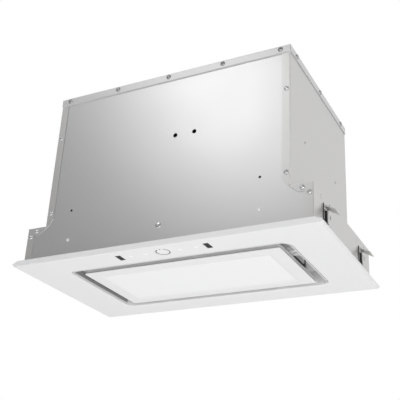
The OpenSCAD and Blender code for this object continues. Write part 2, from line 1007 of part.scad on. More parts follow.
module capacitor() {
    y0 = body_front + sheet;
    color("whitesmoke") translate([ebox_x + ebox_w / 2, y0 + cap_r, ebox_z - cap_l - cap_gap]) {
        cylinder(r = cap_r, h = cap_l);
        block(-cap_r / 2, cap_r / 2, -cap_r, 0, cap_gap, cap_l - cap_gap);
    }
}

module terminal_block() {
    y0 = body_front + sheet;
    x0 = ebox_x - terminal_w - cap_gap;
    color("ivory") difference() {
        block(x0, x0 + terminal_w, y0, y0 + terminal_d, ebox_z, ebox_z + terminal_h);
        for (i = [1, 2, 3])
            translate([x0 + i * terminal_w / 4, y0 + terminal_d / 2, ebox_z - over])
                cylinder(r = terminal_wire_r, h = terminal_h + 2 * over);
    }
}

module cable_gland() {
    color("#1f1f21") translate([gland_x, gland_y, lid_z]) difference() {
        union() {
            cylinder(r = gland_nut_r, h = gland_nut_h);
            cylinder(r = gland_r, h = gland_out);
            translate([0, 0, -sheet - gland_nut_h]) cylinder(r = gland_r, h = sheet + gland_nut_h);
            translate([0, 0, -sheet - gland_nut_h]) cylinder(r = gland_nut_r, h = gland_nut_h);
        }
        translate([0, 0, -4 * gland_nut_h]) cylinder(r = gland_bore_r, h = 8 * gland_nut_h);
    }
}

// Controls

module control_housing() {
    w = board_w + 2 * housing_wall + 2 * gap;
    d = 2 * (button_r + button_flange + gap + housing_wall);
    color("white") translate([control_x, control_y, 0]) difference() {
        translate([-w / 2, -d / 2, sheet]) cube([w, d, housing_h]);
        translate([-w / 2 + housing_wall, -d / 2 + housing_wall, sheet - over])
            cube([w - 2 * housing_wall, d - 2 * housing_wall, housing_h - housing_wall + over]);
    }
}

module control_board() {
    top = sheet + housing_h - housing_wall;
    color("darkgreen") translate([control_x, control_y, 0])
        block(-board_w / 2, board_w / 2, -board_d / 2, board_d / 2, top - board_t, top);
}

module sensor_windows() {
    color("#0c0c0e") for (side = [-1, 1]) translate([control_x + side * window_pitch, control_y, 0]) {
        translate([-window_w / 2, -window_d / 2, window_low])
            cube([window_w, window_d, control_board_low - window_low]);
        translate([-window_w / 2 - window_lap, -window_d / 2 - window_lap, sheet])
            cube([window_w + 2 * window_lap, window_d + 2 * window_lap, sheet]);
    }
}

module indicator_lights() {
    color("#f6f8f8") for (place = light_offsets) translate([control_x + place, control_y, 0]) {
        translate([-light_w / 2, -light_d / 2, window_low])
            cube([light_w, light_d, control_board_low - window_low]);
        translate([-light_w / 2 - window_lap, -light_d / 2 - window_lap, sheet])
            cube([light_w + 2 * window_lap, light_d + 2 * window_lap, sheet]);
    }
}

module power_button() {
    color("white") translate([control_x, control_y, 0]) difference() {
        union() {
            translate([0, 0, button_low]) cylinder(r = button_r, h = sheet + button_flange_t - button_low);
            translate([0, 0, sheet]) cylinder(r = button_r + button_flange, h = button_flange_t);
            translate([0, 0, sheet])
                cylinder(r = button_stem_r, h = control_board_low - sheet - button_travel - gap);
        }
        translate([0, 0, button_low - over]) cylinder(r = lens_r, h = lens_t + over);
    }
}

module button_lens() {
    color("#f4f6f6") translate([control_x, control_y, button_low]) cylinder(r = lens_r, h = lens_t);
}

// Suction flap with the lamp

module flap_plate() {
    color("white") at_flap() difference() {
        slab(flap_w, flap_d, flap_r, flap_z, frame_z);
        slab(lamp_w, lamp_d, lamp_r, flap_z - over, frame_z + over);
    }
}

module hinge_places() {
    for (side = [-1, 1]) translate([shift_x + side * hinge_x, hinge_y, hinge_z]) children();
}

module flap_frame() {
    w = flap_w - 2 * flap_inset;
    d = flap_d - 2 * flap_inset;
    r = flap_r - flap_inset / 2;
    color("darkgray") difference() {
        union() {
            at_flap() difference() {
                slab(w, d, r, frame_z, flap_top);
                slab(w - 2 * sheet, d - 2 * sheet, r - sheet, frame_z - over, flap_top - sheet);
            }
            hinge_places() {
                rotate([0, 90, 0]) cylinder(r = hinge_eye_r, h = hinge_ear_t, center = true);
                block(-hinge_ear_t / 2, hinge_ear_t / 2, -hinge_ear_back, 0, flap_top - hinge_z,
                    hinge_eye_r);
                block(-hinge_ear_t / 2, hinge_ear_t / 2, -hinge_y + flap_rear - flap_inset, 0,
                    -hinge_eye_r / 2, hinge_eye_r);
            }
            at_flap() for (side = [-1, 1])
                block(side * striker_x - striker_t / 2, side * striker_x + striker_t / 2,
                    catch_y - flap_y - striker_d / 2, catch_y - flap_y + striker_d / 2,
                    flap_top - sheet / 2, flap_top + striker_h);
        }
        hinge_places() rotate([0, 90, 0]) cylinder(r = hinge_bore, h = 2 * hinge_ear_t, center = true);
    }
}

module led_diffuser() {
    color("#fbfcff") at_flap()
        slab(lamp_w + 2 * diffuser_lap, lamp_d + 2 * diffuser_lap, lamp_r, frame_z, frame_z + diffuser_t);
}

module led_boards() {
    top = flap_top - sheet;
    color("#f2f2ea") at_flap() for (row = [-1, 1]) translate([0, row * led_strip_y, 0]) {
        block(-led_board_l / 2, led_board_l / 2, -led_board_d / 2, led_board_d / 2, top - led_board_t,
            top);
        for (i = [0 : led_count - 1])
            translate([(i - (led_count - 1) / 2) * led_pitch, 0, 0])
                block(-led_w / 2, led_w / 2, -led_w / 2, led_w / 2, top - led_board_t - led_h,
                    top - led_board_t);
    }
}

module hinge_brackets() {
    cheek = hinge_ear_t / 2 + hinge_play;
    color("white") difference() {
        hinge_places() {
            for (side = [-1, 1])
                translate([side * (cheek + hinge_cheek_t / 2), 0, 0]) {
                    rotate([0, 90, 0]) cylinder(r = hinge_eye_r, h = hinge_cheek_t, center = true);
                    block(-hinge_cheek_t / 2, hinge_cheek_t / 2, -hinge_eye_r, hinge_eye_r, 0,
                        ceiling_z - hinge_z);
                }
            block(-cheek - hinge_cheek_t, cheek + hinge_cheek_t, -hinge_plate_d + hinge_eye_r,
                hinge_eye_r, ceiling_z - hinge_z - hinge_plate_t, ceiling_z - hinge_z);
        }
        hinge_places() rotate([0, 90, 0])
            cylinder(r = hinge_pin_r + fit / 10, h = 8 * hinge_ear_t, center = true);
    }
}

module hinge_pins() {
    l = hinge_ear_t + 2 * hinge_play + 2 * hinge_cheek_t;
    color("lightgray") hinge_places() rotate([0, 90, 0]) cylinder(r = hinge_pin_r, h = l, center = true);
}

module flap_catch() {
    slot = striker_t + 2 * striker_play;
    translate([0, catch_y, 0]) difference() {
        block(striker_x - catch_in / 2, flap_w / 2 + catch_out, -catch_d / 2, catch_d / 2, catch_low,
            ceiling_z);
        block(striker_x - slot / 2, striker_x + slot / 2, -striker_d / 2 - 2 * striker_play,
            striker_d / 2 + 2 * striker_play, catch_low - over, flap_top + striker_h + 2 * striker_play);
        block(flap_w / 2, flap_w / 2 + catch_out + over, -catch_slot_d / 2, catch_slot_d / 2,
            catch_low - over, catch_low + catch_slot_h);
        block(striker_x - catch_in, flap_w / 2 + catch_out + over, -catch_d / 2 - over,
            -catch_d / 2 + catch_edge_r, catch_low - over, catch_low + catch_edge_r);
    }
}

module flap_catch_left() {
    color("gray") translate([shift_x, 0, 0]) mirrored_x(-1) flap_catch();
}

module flap_catch_right() {
    color("gray") translate([shift_x, 0, 0]) flap_catch();
}

module lamp_connector() {
    x0 = shift_x + flap_w / 2 + plug_block_out;
    color("#111113") block(x0, x0 + plug_block_w, shift_y + plug_block_y - plug_block_d / 2,
        shift_y + plug_block_y + plug_block_d / 2, plug_block_low, ceiling_z);
}

// Grease filter

module filter_frame() {
    front = -filter_d / 2;
    rear = filter_d / 2;
    color("silver") at_opening() difference() {
        union() {
            difference() {
                slab(filter_w, filter_d, filter_skin, filter_z, filter_top);
                translate([0, 0, filter_z + filter_skin]) linear_extrude(filter_t - 2 * filter_skin)
                    square([filter_w - 2 * filter_skin, filter_d - 2 * filter_skin], center = true);
                translate([0, 0, filter_z - over]) linear_extrude(filter_t + 2 * over)
                    square([filter_w - 2 * filter_border, filter_d - 2 * filter_border], center = true);
            }
            for (side = [-1, 1])
                block(side * tongue_x - tongue_w / 2, side * tongue_x + tongue_w / 2,
                    rear - filter_skin / 2, rear + tongue_out, liner_z, liner_z + tongue_t);
            block(-latch_bay_w / 2, latch_bay_w / 2, front + filter_skin / 2, front + latch_bay_d,
                filter_z, filter_z + filter_skin);
        }
        block(-latch_w / 2 - latch_play, latch_w / 2 + latch_play, front - over, front + 2 * filter_skin,
            liner_z - latch_play, liner_z + tongue_t + latch_play);
        block(-latch_tab_w / 2 - latch_play, latch_tab_w / 2 + latch_play,
            front + latch_tab_back - latch_play,
            front + latch_tab_back + latch_tab_t + latch_travel + latch_play,
            filter_z - over, filter_z + filter_skin + over);
    }
}

module filter_mesh() {
    w = filter_w - 2 * filter_skin - 2 * filter_play;
    d = filter_d - 2 * filter_skin - 2 * filter_play;
    z0 = filter_z + filter_skin;
    color("gainsboro") at_opening() difference() {
        block(-w / 2, w / 2, -d / 2, d / 2, z0, filter_top - filter_skin);
        block(-latch_bay_w / 2, latch_bay_w / 2, -d / 2 - over, -filter_d / 2 + latch_bay_d,
            z0 - over, filter_top);
        for (i = [1 : rib_count - 1])
            translate([(i / rib_count - half) * w, 0, 0])
                block(-filter_skin / 2, filter_skin / 2, -filter_d / 2 + latch_bay_d + filter_skin,
                    d / 2 - filter_border, z0 - over, z0 + filter_skin);
    }
}

module filter_latch() {
    front = -filter_d / 2;
    color("#cfd0d2") at_opening() {
        block(-latch_w / 2, latch_w / 2, front - filter_gap - latch_out, front + latch_back, liner_z,
            liner_z + tongue_t);
        block(-latch_tab_w / 2, latch_tab_w / 2, front + latch_tab_back,
            front + latch_tab_back + latch_tab_t, filter_z - latch_tab_low, liner_z + tongue_t);
    }
}

// Mounting clips

// Draws its children in a clip's own place, turned for the left side
module at_clip(side, row) {
    mirrored_x(side) translate([low_x, body_shift + row * clip_pitch / 2, slot_top]) children();
}

module clip_housing() {
    outer_d = clip_w - 2 * fit;
    difference() {
        union() {
            block(-clip_depth, clip_lip, -outer_d / 2, outer_d / 2, -clip_h + fit, -fit);
            block(-clip_wall - sheet, -sheet, -clip_w / 2 - clip_ear_w, clip_w / 2 + clip_ear_w,
                -clip_h - clip_wall, clip_wall);
        }
        block(-clip_depth + clip_wall, clip_lip + over, -outer_d / 2 + clip_wall, outer_d / 2 - clip_wall,
            -clip_h + fit + clip_wall, -fit - clip_wall / 2);
        block(-sheet, clip_lip + over, -outer_d / 2 + clip_wall, outer_d / 2 - clip_wall,
            -clip_h, over);
        on_side(1, 0, clip_hole_y, -clip_h + over)
            cylinder(r = clip_hole_r, h = 4 * clip_wall, center = true);
        block(-3 * sheet, 0, clip_slot_y - clip_slot_w / 2, clip_slot_y + clip_slot_w / 2,
            -clip_slot_down - clip_slot_h / 2, -clip_slot_down + clip_slot_h / 2);
        translate([-pivot_in, 0, -pivot_down]) rotate([90, 0, 0])
            cylinder(r = pivot_r + fit / 10, h = 2 * clip_w, center = true);
    }
}

module clip_housing_front_left() {
    color("#464645") at_clip(-1, -1) clip_housing();
}

module clip_housing_front_right() {
    color("#464645") at_clip(1, -1) clip_housing();
}

module clip_housing_rear_left() {
    color("#464645") at_clip(-1, 1) clip_housing();
}

module clip_housing_rear_right() {
    color("#464645") at_clip(1, 1) clip_housing();
}

module clip_springs() {
    color("darkgray") for (side = [-1, 1], row = [-1, 1]) at_clip(side, row) {
        block(-spring_in - spring_t, -spring_in, -spring_w / 2, spring_w / 2,
            -clip_h + fit + clip_wall, -fit - clip_wall / 2);
        block(-clip_depth + clip_wall, -spring_in, -spring_w / 2, spring_w / 2,
            -clip_h + fit + clip_wall, -clip_h + fit + clip_wall + spring_t);
    }
}

module clip_pins() {
    color("lightgray") for (side = [-1, 1], row = [-1, 1]) at_clip(side, row)
        translate([-pivot_in, 0, -pivot_down]) rotate([90, 0, 0])
            cylinder(r = pivot_r, h = clip_w - 2 * fit, center = true);
}

module clip_wing() {
    translate([-pivot_in, 0, -pivot_down]) difference() {
        union() {
            rotate([90, 0, 0]) cylinder(r = wing_eye_r, h = wing_w - 2 * gap, center = true);
            rotate([0, wing_angle, 0]) {
                block(0, wing_l, -wing_w / 2, wing_w / 2, wing_top - wing_t, wing_top);
                for (i = [1 : wing_tooth_count])
                    translate([i * wing_l / (wing_tooth_count + 1), 0, wing_top])
                        block(0, wing_tooth_w, -wing_w / 2, wing_w / 2, -wing_t / 2, wing_tooth);
            }
        }
        rotate([90, 0, 0]) cylinder(r = pivot_bore_r, h = 2 * wing_w, center = true);
    }
}

module clip_wing_front_left() {
    color("lightgray") at_clip(-1, -1) clip_wing();
}

module clip_wing_front_right() {
    color("lightgray") at_clip(1, -1) clip_wing();
}

module clip_wing_rear_left() {
    color("lightgray") at_clip(-1, 1) clip_wing();
}

module clip_wing_rear_right() {
    color("lightgray") at_clip(1, 1) clip_wing();
}

panel_frame();
recess_liner();
front_panel();
rear_panel();
side_panel_left();
side_panel_right();
top_cover();
lid_screws();
zinc_screws();
panel_studs();
panel_brackets();
centre_plug();
duct_collar();
damper_axle();
damper_flap_front();
damper_flap_rear();
outlet_box();
scroll_wall();
scroll_side_left();
scroll_side_right();
impeller();
fan_blades();
fan_rings();
motor_shaft();
motor();
motor_bracket();
electronics_box();
electronics_cover();
power_board();
capacitor();
terminal_block();
cable_gland();
control_housing();
control_board();
sensor_windows();
indicator_lights();
power_button();
button_lens();
flap_plate();
flap_frame();
led_diffuser();
led_boards();
hinge_brackets();
hinge_pins();
flap_catch_left();
flap_catch_right();
lamp_connector();
filter_frame();
filter_mesh();
filter_latch();
clip_housing_front_left();
clip_housing_front_right();
clip_housing_rear_left();
clip_housing_rear_right();
clip_springs();
clip_pins();
clip_wing_front_left();
clip_wing_front_right();
clip_wing_rear_left();
clip_wing_rear_right();
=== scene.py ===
import json
from math import copysign, cos, pi, radians, sin

import bmesh
import bpy
from mathutils import Matrix, Vector


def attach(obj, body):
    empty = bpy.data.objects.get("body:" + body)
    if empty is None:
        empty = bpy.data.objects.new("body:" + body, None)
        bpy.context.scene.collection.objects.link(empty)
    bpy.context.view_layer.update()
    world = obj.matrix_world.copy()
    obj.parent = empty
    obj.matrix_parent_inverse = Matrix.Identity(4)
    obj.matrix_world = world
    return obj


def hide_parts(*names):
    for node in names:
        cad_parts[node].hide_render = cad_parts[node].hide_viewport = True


# Built-in range hood seen from below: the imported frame, dressed with finished pieces and materials
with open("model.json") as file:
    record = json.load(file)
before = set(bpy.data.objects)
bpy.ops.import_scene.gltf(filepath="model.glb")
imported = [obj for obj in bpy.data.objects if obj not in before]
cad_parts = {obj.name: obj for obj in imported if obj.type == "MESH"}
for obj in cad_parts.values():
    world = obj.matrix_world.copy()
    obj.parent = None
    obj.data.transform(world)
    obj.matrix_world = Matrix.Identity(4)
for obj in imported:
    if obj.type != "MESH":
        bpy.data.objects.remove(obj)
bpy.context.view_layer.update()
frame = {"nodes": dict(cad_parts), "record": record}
cadNodes = frame["nodes"]
scene = bpy.context.scene
mm = 0.001
print("frame loaded with", len(cadNodes), "nodes")

# Camera under the hood, as in the photograph
cameraView = {
    "place": (0.58131, -1.09451, -0.44286),
    "forward": (-0.4251991, 0.79819176, 0.42672665),
    "up": (0.15246149, -0.4015686, 0.90304936),
    "lens": 71.82,
    "sensor": 36.0,
    "clip": (0.01, 60),
}


def addCamera(setup):
    data = bpy.data.cameras.new("camera")
    data.lens, data.sensor_width = setup["lens"], setup["sensor"]
    data.clip_start, data.clip_end = setup["clip"]
    forward, up = Vector(setup["forward"]), Vector(setup["up"])
    camera = bpy.data.objects.new("camera", data)
    turn = Matrix((forward.cross(up), up, -forward)).transposed().to_4x4()
    camera.matrix_world = Matrix.Translation(setup["place"]) @ turn
    scene.collection.objects.link(camera)
    scene.camera = camera


addCamera(cameraView)

# Studio: white room, large soft boxes, pale floor
roomLook = {"colour": (1, 1, 1, 1), "dark": 0.3, "bright": 0.85, "from": -0.75, "to": 0.25}
softBoxes = {
    "frontBox": {"place": (-0.92, -2.25, 1.78), "aim": (0.1, -0.13, 0.2), "size": (0.8, 0.8),
                 "power": 6.7},
    "lowBox": {"place": (0.45, -0.1, -0.53), "aim": (0.45, -0.1, 0.0), "size": (2.4, 2.2), "power": 6.9},
    "fillBox": {"place": (1.1, -1.7, -0.48), "aim": (0.0, -0.1, 0.0), "size": (1.0, 0.5), "power": 10},
}
floorLook = {"size": 9.0, "height": -0.56, "colour": (0.86, 0.86, 0.86, 1), "roughness": 0.6}


def lightRoom(look):
    world = bpy.data.worlds.new("studio")
    scene.world = world
    world.use_nodes = True
    tree = world.node_tree
    tree.nodes.clear()
    place = tree.nodes.new("ShaderNodeTexCoord")
    split = tree.nodes.new("ShaderNodeSeparateXYZ")
    tree.links.new(place.outputs["Generated"], split.inputs[0])
    fade = tree.nodes.new("ShaderNodeMapRange")
    fade.interpolation_type = "SMOOTHSTEP"
    fade.inputs["From Min"].default_value = look["from"]
    fade.inputs["From Max"].default_value = look["to"]
    fade.inputs["To Min"].default_value = look["dark"]
    fade.inputs["To Max"].default_value = look["bright"]
    tree.links.new(split.outputs["Y"], fade.inputs["Value"])
    room = tree.nodes.new("ShaderNodeBackground")
    room.inputs["Color"].default_value = look["colour"]
    tree.links.new(fade.outputs["Result"], room.inputs["Strength"])
    backdrop = tree.nodes.new("ShaderNodeBackground")
    backdrop.inputs["Color"].default_value = look["colour"]
    ray = tree.nodes.new("ShaderNodeLightPath")
    mix = tree.nodes.new("ShaderNodeMixShader")
    tree.links.new(ray.outputs["Is Camera Ray"], mix.inputs["Fac"])
    tree.links.new(room.outputs[0], mix.inputs[1])
    tree.links.new(backdrop.outputs[0], mix.inputs[2])
    end = tree.nodes.new("ShaderNodeOutputWorld")
    tree.links.new(mix.outputs[0], end.inputs["Surface"])


def addSoftBox(name, box):
    data = bpy.data.lights.new(name, "AREA")
    data.shape = "RECTANGLE"
    data.size, data.size_y = box["size"]
    data.energy = box["power"]
    lamp = bpy.data.objects.new(name, data)
    lamp.visible_camera = False
    place = Vector(box["place"])
    lamp.rotation_mode = "QUATERNION"
    lamp.rotation_quaternion = (Vector(box["aim"]) - place).to_track_quat("-Z", "Y")
    lamp.location = place
    scene.collection.objects.link(lamp)


lightRoom(roomLook)
for name, box in softBoxes.items():
    addSoftBox(name, box)
scene.view_settings.view_transform = "Standard"
print("camera and studio ready")


# Shader groups shared by the finishes
def newGroup(name, inputs, outputs):
    group = bpy.data.node_groups.new(name, "ShaderNodeTree")
    for label, kind, value in inputs:
        socket = group.interface.new_socket(label, in_out="INPUT", socket_type=kind)
        socket.default_value = value
    for label, kind in outputs:
        group.interface.new_socket(label, in_out="OUTPUT", socket_type=kind)
    return group, group.nodes.new("NodeGroupInput"), group.nodes.new("NodeGroupOutput")


def mathNode(tree, operation, first, second):
    node = tree.nodes.new("ShaderNodeMath")
    node.operation = operation
    for socket, value in zip(node.inputs, (first, second)):
        if isinstance(value, (int, float)):
            socket.default_value = value
        else:
            tree.links.new(value, socket)
    return node.outputs[0]


grainDetail = {"fine": 3, "cloud": 2}
wornEdge = {"from": 0.505, "to": 0.58}  # range of the geometry's pointiness


def makeGrainGroup():
    group, inside, outside = newGroup(
        "sheetGrain",
        [
            ("Colour", "NodeSocketColor", (0.8, 0.8, 0.8, 1)),
            ("Colour Spread", "NodeSocketFloat", 0.05),
            ("Scale", "NodeSocketFloat", 900.0),
            ("Stretch", "NodeSocketVector", (1, 1, 1)),
            ("Roughness", "NodeSocketFloat", 0.4),
            ("Roughness Spread", "NodeSocketFloat", 0.06),
            ("Cloud Scale", "NodeSocketFloat", 9.0),
        ],
        [("Colour", "NodeSocketColor"), ("Roughness", "NodeSocketFloat"), ("Height", "NodeSocketFloat")],
    )
    link = group.links.new
    place = group.nodes.new("ShaderNodeTexCoord")
    pull = group.nodes.new("ShaderNodeVectorMath")
    pull.operation = "MULTIPLY"
    link(place.outputs["Object"], pull.inputs[0])
    link(inside.outputs["Stretch"], pull.inputs[1])
    fine = group.nodes.new("ShaderNodeTexNoise")
    fine.inputs["Detail"].default_value = grainDetail["fine"]
    link(pull.outputs[0], fine.inputs["Vector"])
    link(inside.outputs["Scale"], fine.inputs["Scale"])
    cloud = group.nodes.new("ShaderNodeTexNoise")
    cloud.inputs["Detail"].default_value = grainDetail["cloud"]
    link(place.outputs["Object"], cloud.inputs["Vector"])
    link(inside.outputs["Cloud Scale"], cloud.inputs["Scale"])
    both = mathNode(group, "ADD", fine.outputs["Fac"], cloud.outputs["Fac"])
    swing = mathNode(group, "SUBTRACT", mathNode(group, "MULTIPLY", both, 0.5), 0.5)
    spread = mathNode(group, "MULTIPLY", swing, inside.outputs["Colour Spread"])
    shade = mathNode(group, "ADD", spread, 1)
    tint = group.nodes.new("ShaderNodeVectorMath")
    tint.operation = "SCALE"
    link(inside.outputs["Colour"], tint.inputs[0])
    link(shade, tint.inputs["Scale"])
    link(tint.outputs[0], outside.inputs["Colour"])
    rough = mathNode(group, "MULTIPLY", swing, inside.outputs["Roughness Spread"])
    link(mathNode(group, "ADD", rough, inside.outputs["Roughness"]), outside.inputs["Roughness"])
    link(fine.outputs["Fac"], outside.inputs["Height"])
    return group


def makeWearGroup():
    group, inside, outside = newGroup(
        "edgeWear",
        [
            ("Colour", "NodeSocketColor", (0.8, 0.8, 0.8, 1)),
            ("Worn Colour", "NodeSocketColor", (0.9, 0.9, 0.9, 1)),
            ("Amount", "NodeSocketFloat", 0.5),
            ("Scale", "NodeSocketFloat", 120.0),
        ],
        [("Colour", "NodeSocketColor")],
    )
    link = group.links.new
    shape = group.nodes.new("ShaderNodeNewGeometry")
    place = group.nodes.new("ShaderNodeTexCoord")
    noise = group.nodes.new("ShaderNodeTexNoise")
    link(place.outputs["Object"], noise.inputs["Vector"])
    link(inside.outputs["Scale"], noise.inputs["Scale"])
    edge = group.nodes.new("ShaderNodeMapRange")
    edge.inputs["From Min"].default_value = wornEdge["from"]
    edge.inputs["From Max"].default_value = wornEdge["to"]
    link(shape.outputs["Pointiness"], edge.inputs["Value"])
    rub = mathNode(group, "MULTIPLY", edge.outputs["Result"], noise.outputs["Fac"])
    mask = mathNode(group, "MULTIPLY", rub, inside.outputs["Amount"])
    mix = group.nodes.new("ShaderNodeMix")
    mix.data_type = "RGBA"
    link(mask, mix.inputs["Factor"])
    link(inside.outputs["Colour"], mix.inputs[6])
    link(inside.outputs["Worn Colour"], mix.inputs[7])
    link(mix.outputs[2], outside.inputs["Colour"])
    return group


grainGroup = makeGrainGroup()
wearGroup = makeWearGroup()

plainFinish = {
    "colour": (0.8, 0.8, 0.8), "spread": 0.06, "scale": 900, "stretch": (1, 1, 1), "cloud": 9,
    "roughness": 0.4, "roughSpread": 0.1, "metallic": 0, "bump": 0.1, "depth": 0.00002,
    "wear": 0, "worn": (0.9, 0.9, 0.9), "coat": 0, "coatRoughness": 0.1, "ior": 1.45, "glow": 0,
}
finishes = {
    "panel_white": {"colour": (0.83, 0.835, 0.835), "roughness": 0.34, "bump": 0.12, "scale": 1400,
                    "depth": 0.00003, "coat": 0.2, "spread": 0.02},
    "liner_white": {"colour": (0.84, 0.845, 0.845), "roughness": 0.4, "bump": 0.1, "scale": 1400},
    "body_grey": {"colour": (0.665, 0.668, 0.668), "roughness": 0.36, "metallic": 0.9, "scale": 500,
                  "stretch": (2.2, 1, 0.12), "spread": 0.03, "roughSpread": 0.08, "bump": 0.05},
    "lid_grey": {"colour": (0.7, 0.703, 0.703), "roughness": 0.42, "metallic": 0.75, "scale": 500,
                 "stretch": (0.12, 1, 2.2), "spread": 0.04, "bump": 0.05},
    "side_grey": {"colour": (0.675, 0.672, 0.66), "roughness": 0.39, "metallic": 0.85, "scale": 500,
                  "stretch": (1, 2.2, 0.12), "spread": 0.05, "bump": 0.05},
    "dark_screw": {"colour": (0.45, 0.45, 0.45), "roughness": 0.24, "metallic": 1, "scale": 2200,
                   "wear": 0.6, "worn": (0.7, 0.7, 0.7), "spread": 0.3},
    "bright_screw": {"colour": (0.74, 0.745, 0.75), "roughness": 0.24, "metallic": 1, "scale": 2200,
                     "spread": 0.15},
    "zinc_sheet": {"colour": (0.46, 0.465, 0.47), "roughness": 0.42, "metallic": 0.9, "scale": 140,
                   "spread": 0.35, "cloud": 60, "roughSpread": 0.25},
    "frame_grey": {"colour": (0.68, 0.68, 0.675), "roughness": 0.45, "bump": 0.08, "scale": 1400},
    "catch_grey": {"colour": (0.72, 0.72, 0.71), "roughness": 0.45, "bump": 0.15, "scale": 2400},
    "black_plastic": {"colour": (0.035, 0.035, 0.037), "roughness": 0.5, "bump": 0.25, "scale": 2600},
    "fan_plastic": {"colour": (0.1, 0.1, 0.11), "roughness": 0.45, "bump": 0.2, "scale": 2200},
    "motor_steel": {"colour": (0.45, 0.46, 0.47), "roughness": 0.45, "metallic": 0.9, "bump": 0.3,
                    "scale": 1100, "spread": 0.2},
    "shaft_steel": {"colour": (0.6, 0.6, 0.6), "roughness": 0.2, "metallic": 1, "stretch": (6, 1, 1)},
    "box_plastic": {"colour": (0.7, 0.7, 0.67), "roughness": 0.5, "bump": 0.15, "scale": 1800},
    "board_green": {"colour": (0.03, 0.17, 0.07), "roughness": 0.3, "spread": 0.3, "scale": 320},
    "white_plastic": {"colour": (0.86, 0.865, 0.865), "roughness": 0.3, "bump": 0.05, "coat": 0.2,
                      "spread": 0.02},
    "black_glass": {"colour": (0.006, 0.006, 0.007), "roughness": 0.12, "bump": 0.02, "ior": 1.22,
                    "roughSpread": 0.04},
    "light_guide": {"colour": (0.87, 0.88, 0.88), "roughness": 0.25, "bump": 0.05, "glow": 0.2},
    "diffuser": {"colour": (0.88, 0.885, 0.885), "roughness": 0.5, "bump": 0.12, "scale": 1900,
                 "depth": 0.00004, "glow": 0.01, "spread": 0.01},
    "led_white": {"colour": (0.85, 0.85, 0.78), "roughness": 0.4, "spread": 0.1},
    "filter_metal": {"colour": (0.66, 0.67, 0.68), "roughness": 0.3, "metallic": 1, "scale": 900,
                     "spread": 0.15, "wear": 0.3},
    "clip_white": {"colour": (0.88, 0.88, 0.87), "roughness": 0.32, "bump": 0.05, "spread": 0.05},
    "seam_white": {"colour": (0.7, 0.7, 0.7), "roughness": 0.5},
    # Near-black clip housings: the dark inside of the slots is painted shade
    "clip_dark": {"colour": (0.05, 0.05, 0.048), "roughness": 0.45, "bump": 0.1, "scale": 2400},
    "stud_bright": {"colour": (0.93, 0.93, 0.93), "roughness": 0.22, "metallic": 0.1, "bump": 0.02},
    "spring_steel": {"colour": (0.66, 0.66, 0.635), "roughness": 0.34, "metallic": 0.5, "scale": 1500,
                     "stretch": (1, 4, 1), "wear": 0.4, "worn": (0.85, 0.85, 0.83), "spread": 0.2},
    # Dark grey for the strip of painted shade in the opening's left gap and for the band round the flap
    "rubber_grey": {"colour": (0.33, 0.33, 0.33), "roughness": 0.6},
    "print_grey": {"colour": (0.05, 0.05, 0.052), "roughness": 0.5},
    "floor_white": {"colour": floorLook["colour"][:3], "roughness": floorLook["roughness"], "scale": 300,
                    "spread": 0.01, "cloud": 0.6},
}


def makeFinish(name, changes):
    look = {**plainFinish, **changes}
    material = bpy.data.materials.new(name)
    material.use_nodes = True
    tree = material.node_tree
    link = tree.links.new
    shader = tree.nodes["Principled BSDF"]
    shader.inputs["Metallic"].default_value = look["metallic"]
    shader.inputs["IOR"].default_value = look["ior"]
    shader.inputs["Coat Weight"].default_value = look["coat"]
    shader.inputs["Coat Roughness"].default_value = look["coatRoughness"]
    grain = tree.nodes.new("ShaderNodeGroup")
    grain.node_tree = grainGroup
    grain.inputs["Colour"].default_value = (*look["colour"], 1)
    grain.inputs["Colour Spread"].default_value = look["spread"]
    grain.inputs["Scale"].default_value = look["scale"]
    grain.inputs["Stretch"].default_value = look["stretch"]
    grain.inputs["Roughness"].default_value = look["roughness"]
    grain.inputs["Roughness Spread"].default_value = look["roughSpread"]
    grain.inputs["Cloud Scale"].default_value = look["cloud"]
    colour = grain.outputs["Colour"]
    if look["wear"]:
        wear = tree.nodes.new("ShaderNodeGroup")
        wear.node_tree = wearGroup
        wear.inputs["Worn Colour"].default_value = (*look["worn"], 1)
        wear.inputs["Amount"].default_value = look["wear"]
        link(colour, wear.inputs["Colour"])
        colour = wear.outputs["Colour"]
    link(colour, shader.inputs["Base Color"])
    link(grain.outputs["Roughness"], shader.inputs["Roughness"])
    bump = tree.nodes.new("ShaderNodeBump")
    bump.inputs["Strength"].default_value = look["bump"]
    bump.inputs["Distance"].default_value = look["depth"]
    link(grain.outputs["Height"], bump.inputs["Height"])
    link(bump.outputs["Normal"], shader.inputs["Normal"])
    if look["glow"]:
        shader.inputs["Emission Color"].default_value = (1, 1, 1, 1)
        shader.inputs["Emission Strength"].default_value = look["glow"]
    return material


materials = {name: makeFinish(name, changes) for name, changes in finishes.items()}
nodeSlots = {row["node"]: row["material_slot"] for row in frame["record"]["subparts"]}
bodies = frame["record"]["behaviour"]["bodies"]
nodeBodies = {node: body for body, held in bodies.items() for node in held}
for node, thing in cadNodes.items():
    thing.data.materials.clear()
    thing.data.materials.append(materials[nodeSlots[node]])
print("finishes made:", len(materials))


# Helpers that turn a bmesh into a finished piece
smoothLimit = radians(32)
mergeGap = 0.000001  # metres


def markEdges(bm):
    for face in bm.faces:
        face.smooth = True
    for edge in bm.edges:
        edge.smooth = len(edge.link_faces) == 2 and edge.calc_face_angle(0) < smoothLimit


def addPiece(bm, name, body, finish, stands=(), recalc=True):
    if recalc:
        bmesh.ops.recalc_face_normals(bm, faces=bm.faces)
    markEdges(bm)
    mesh = bpy.data.meshes.new(name)
    bm.to_mesh(mesh)
    bm.free()
    mesh.materials.append(materials[finish])
    piece = bpy.data.objects.new(name, mesh)
    scene.collection.objects.link(piece)
    even = piece.modifiers.new("evenShading", "WEIGHTED_NORMAL")
    even.keep_sharp = True
    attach(piece, body)
    if stands:
        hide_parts(*stands)
    return piece


def bevelEdges(bm, edges, width, steps):
    if edges:
        bmesh.ops.bevel(bm, geom=edges, offset=width, offset_type="OFFSET", segments=steps,
                        profile=0.5, affect="EDGES", clamp_overlap=True, material=-1)


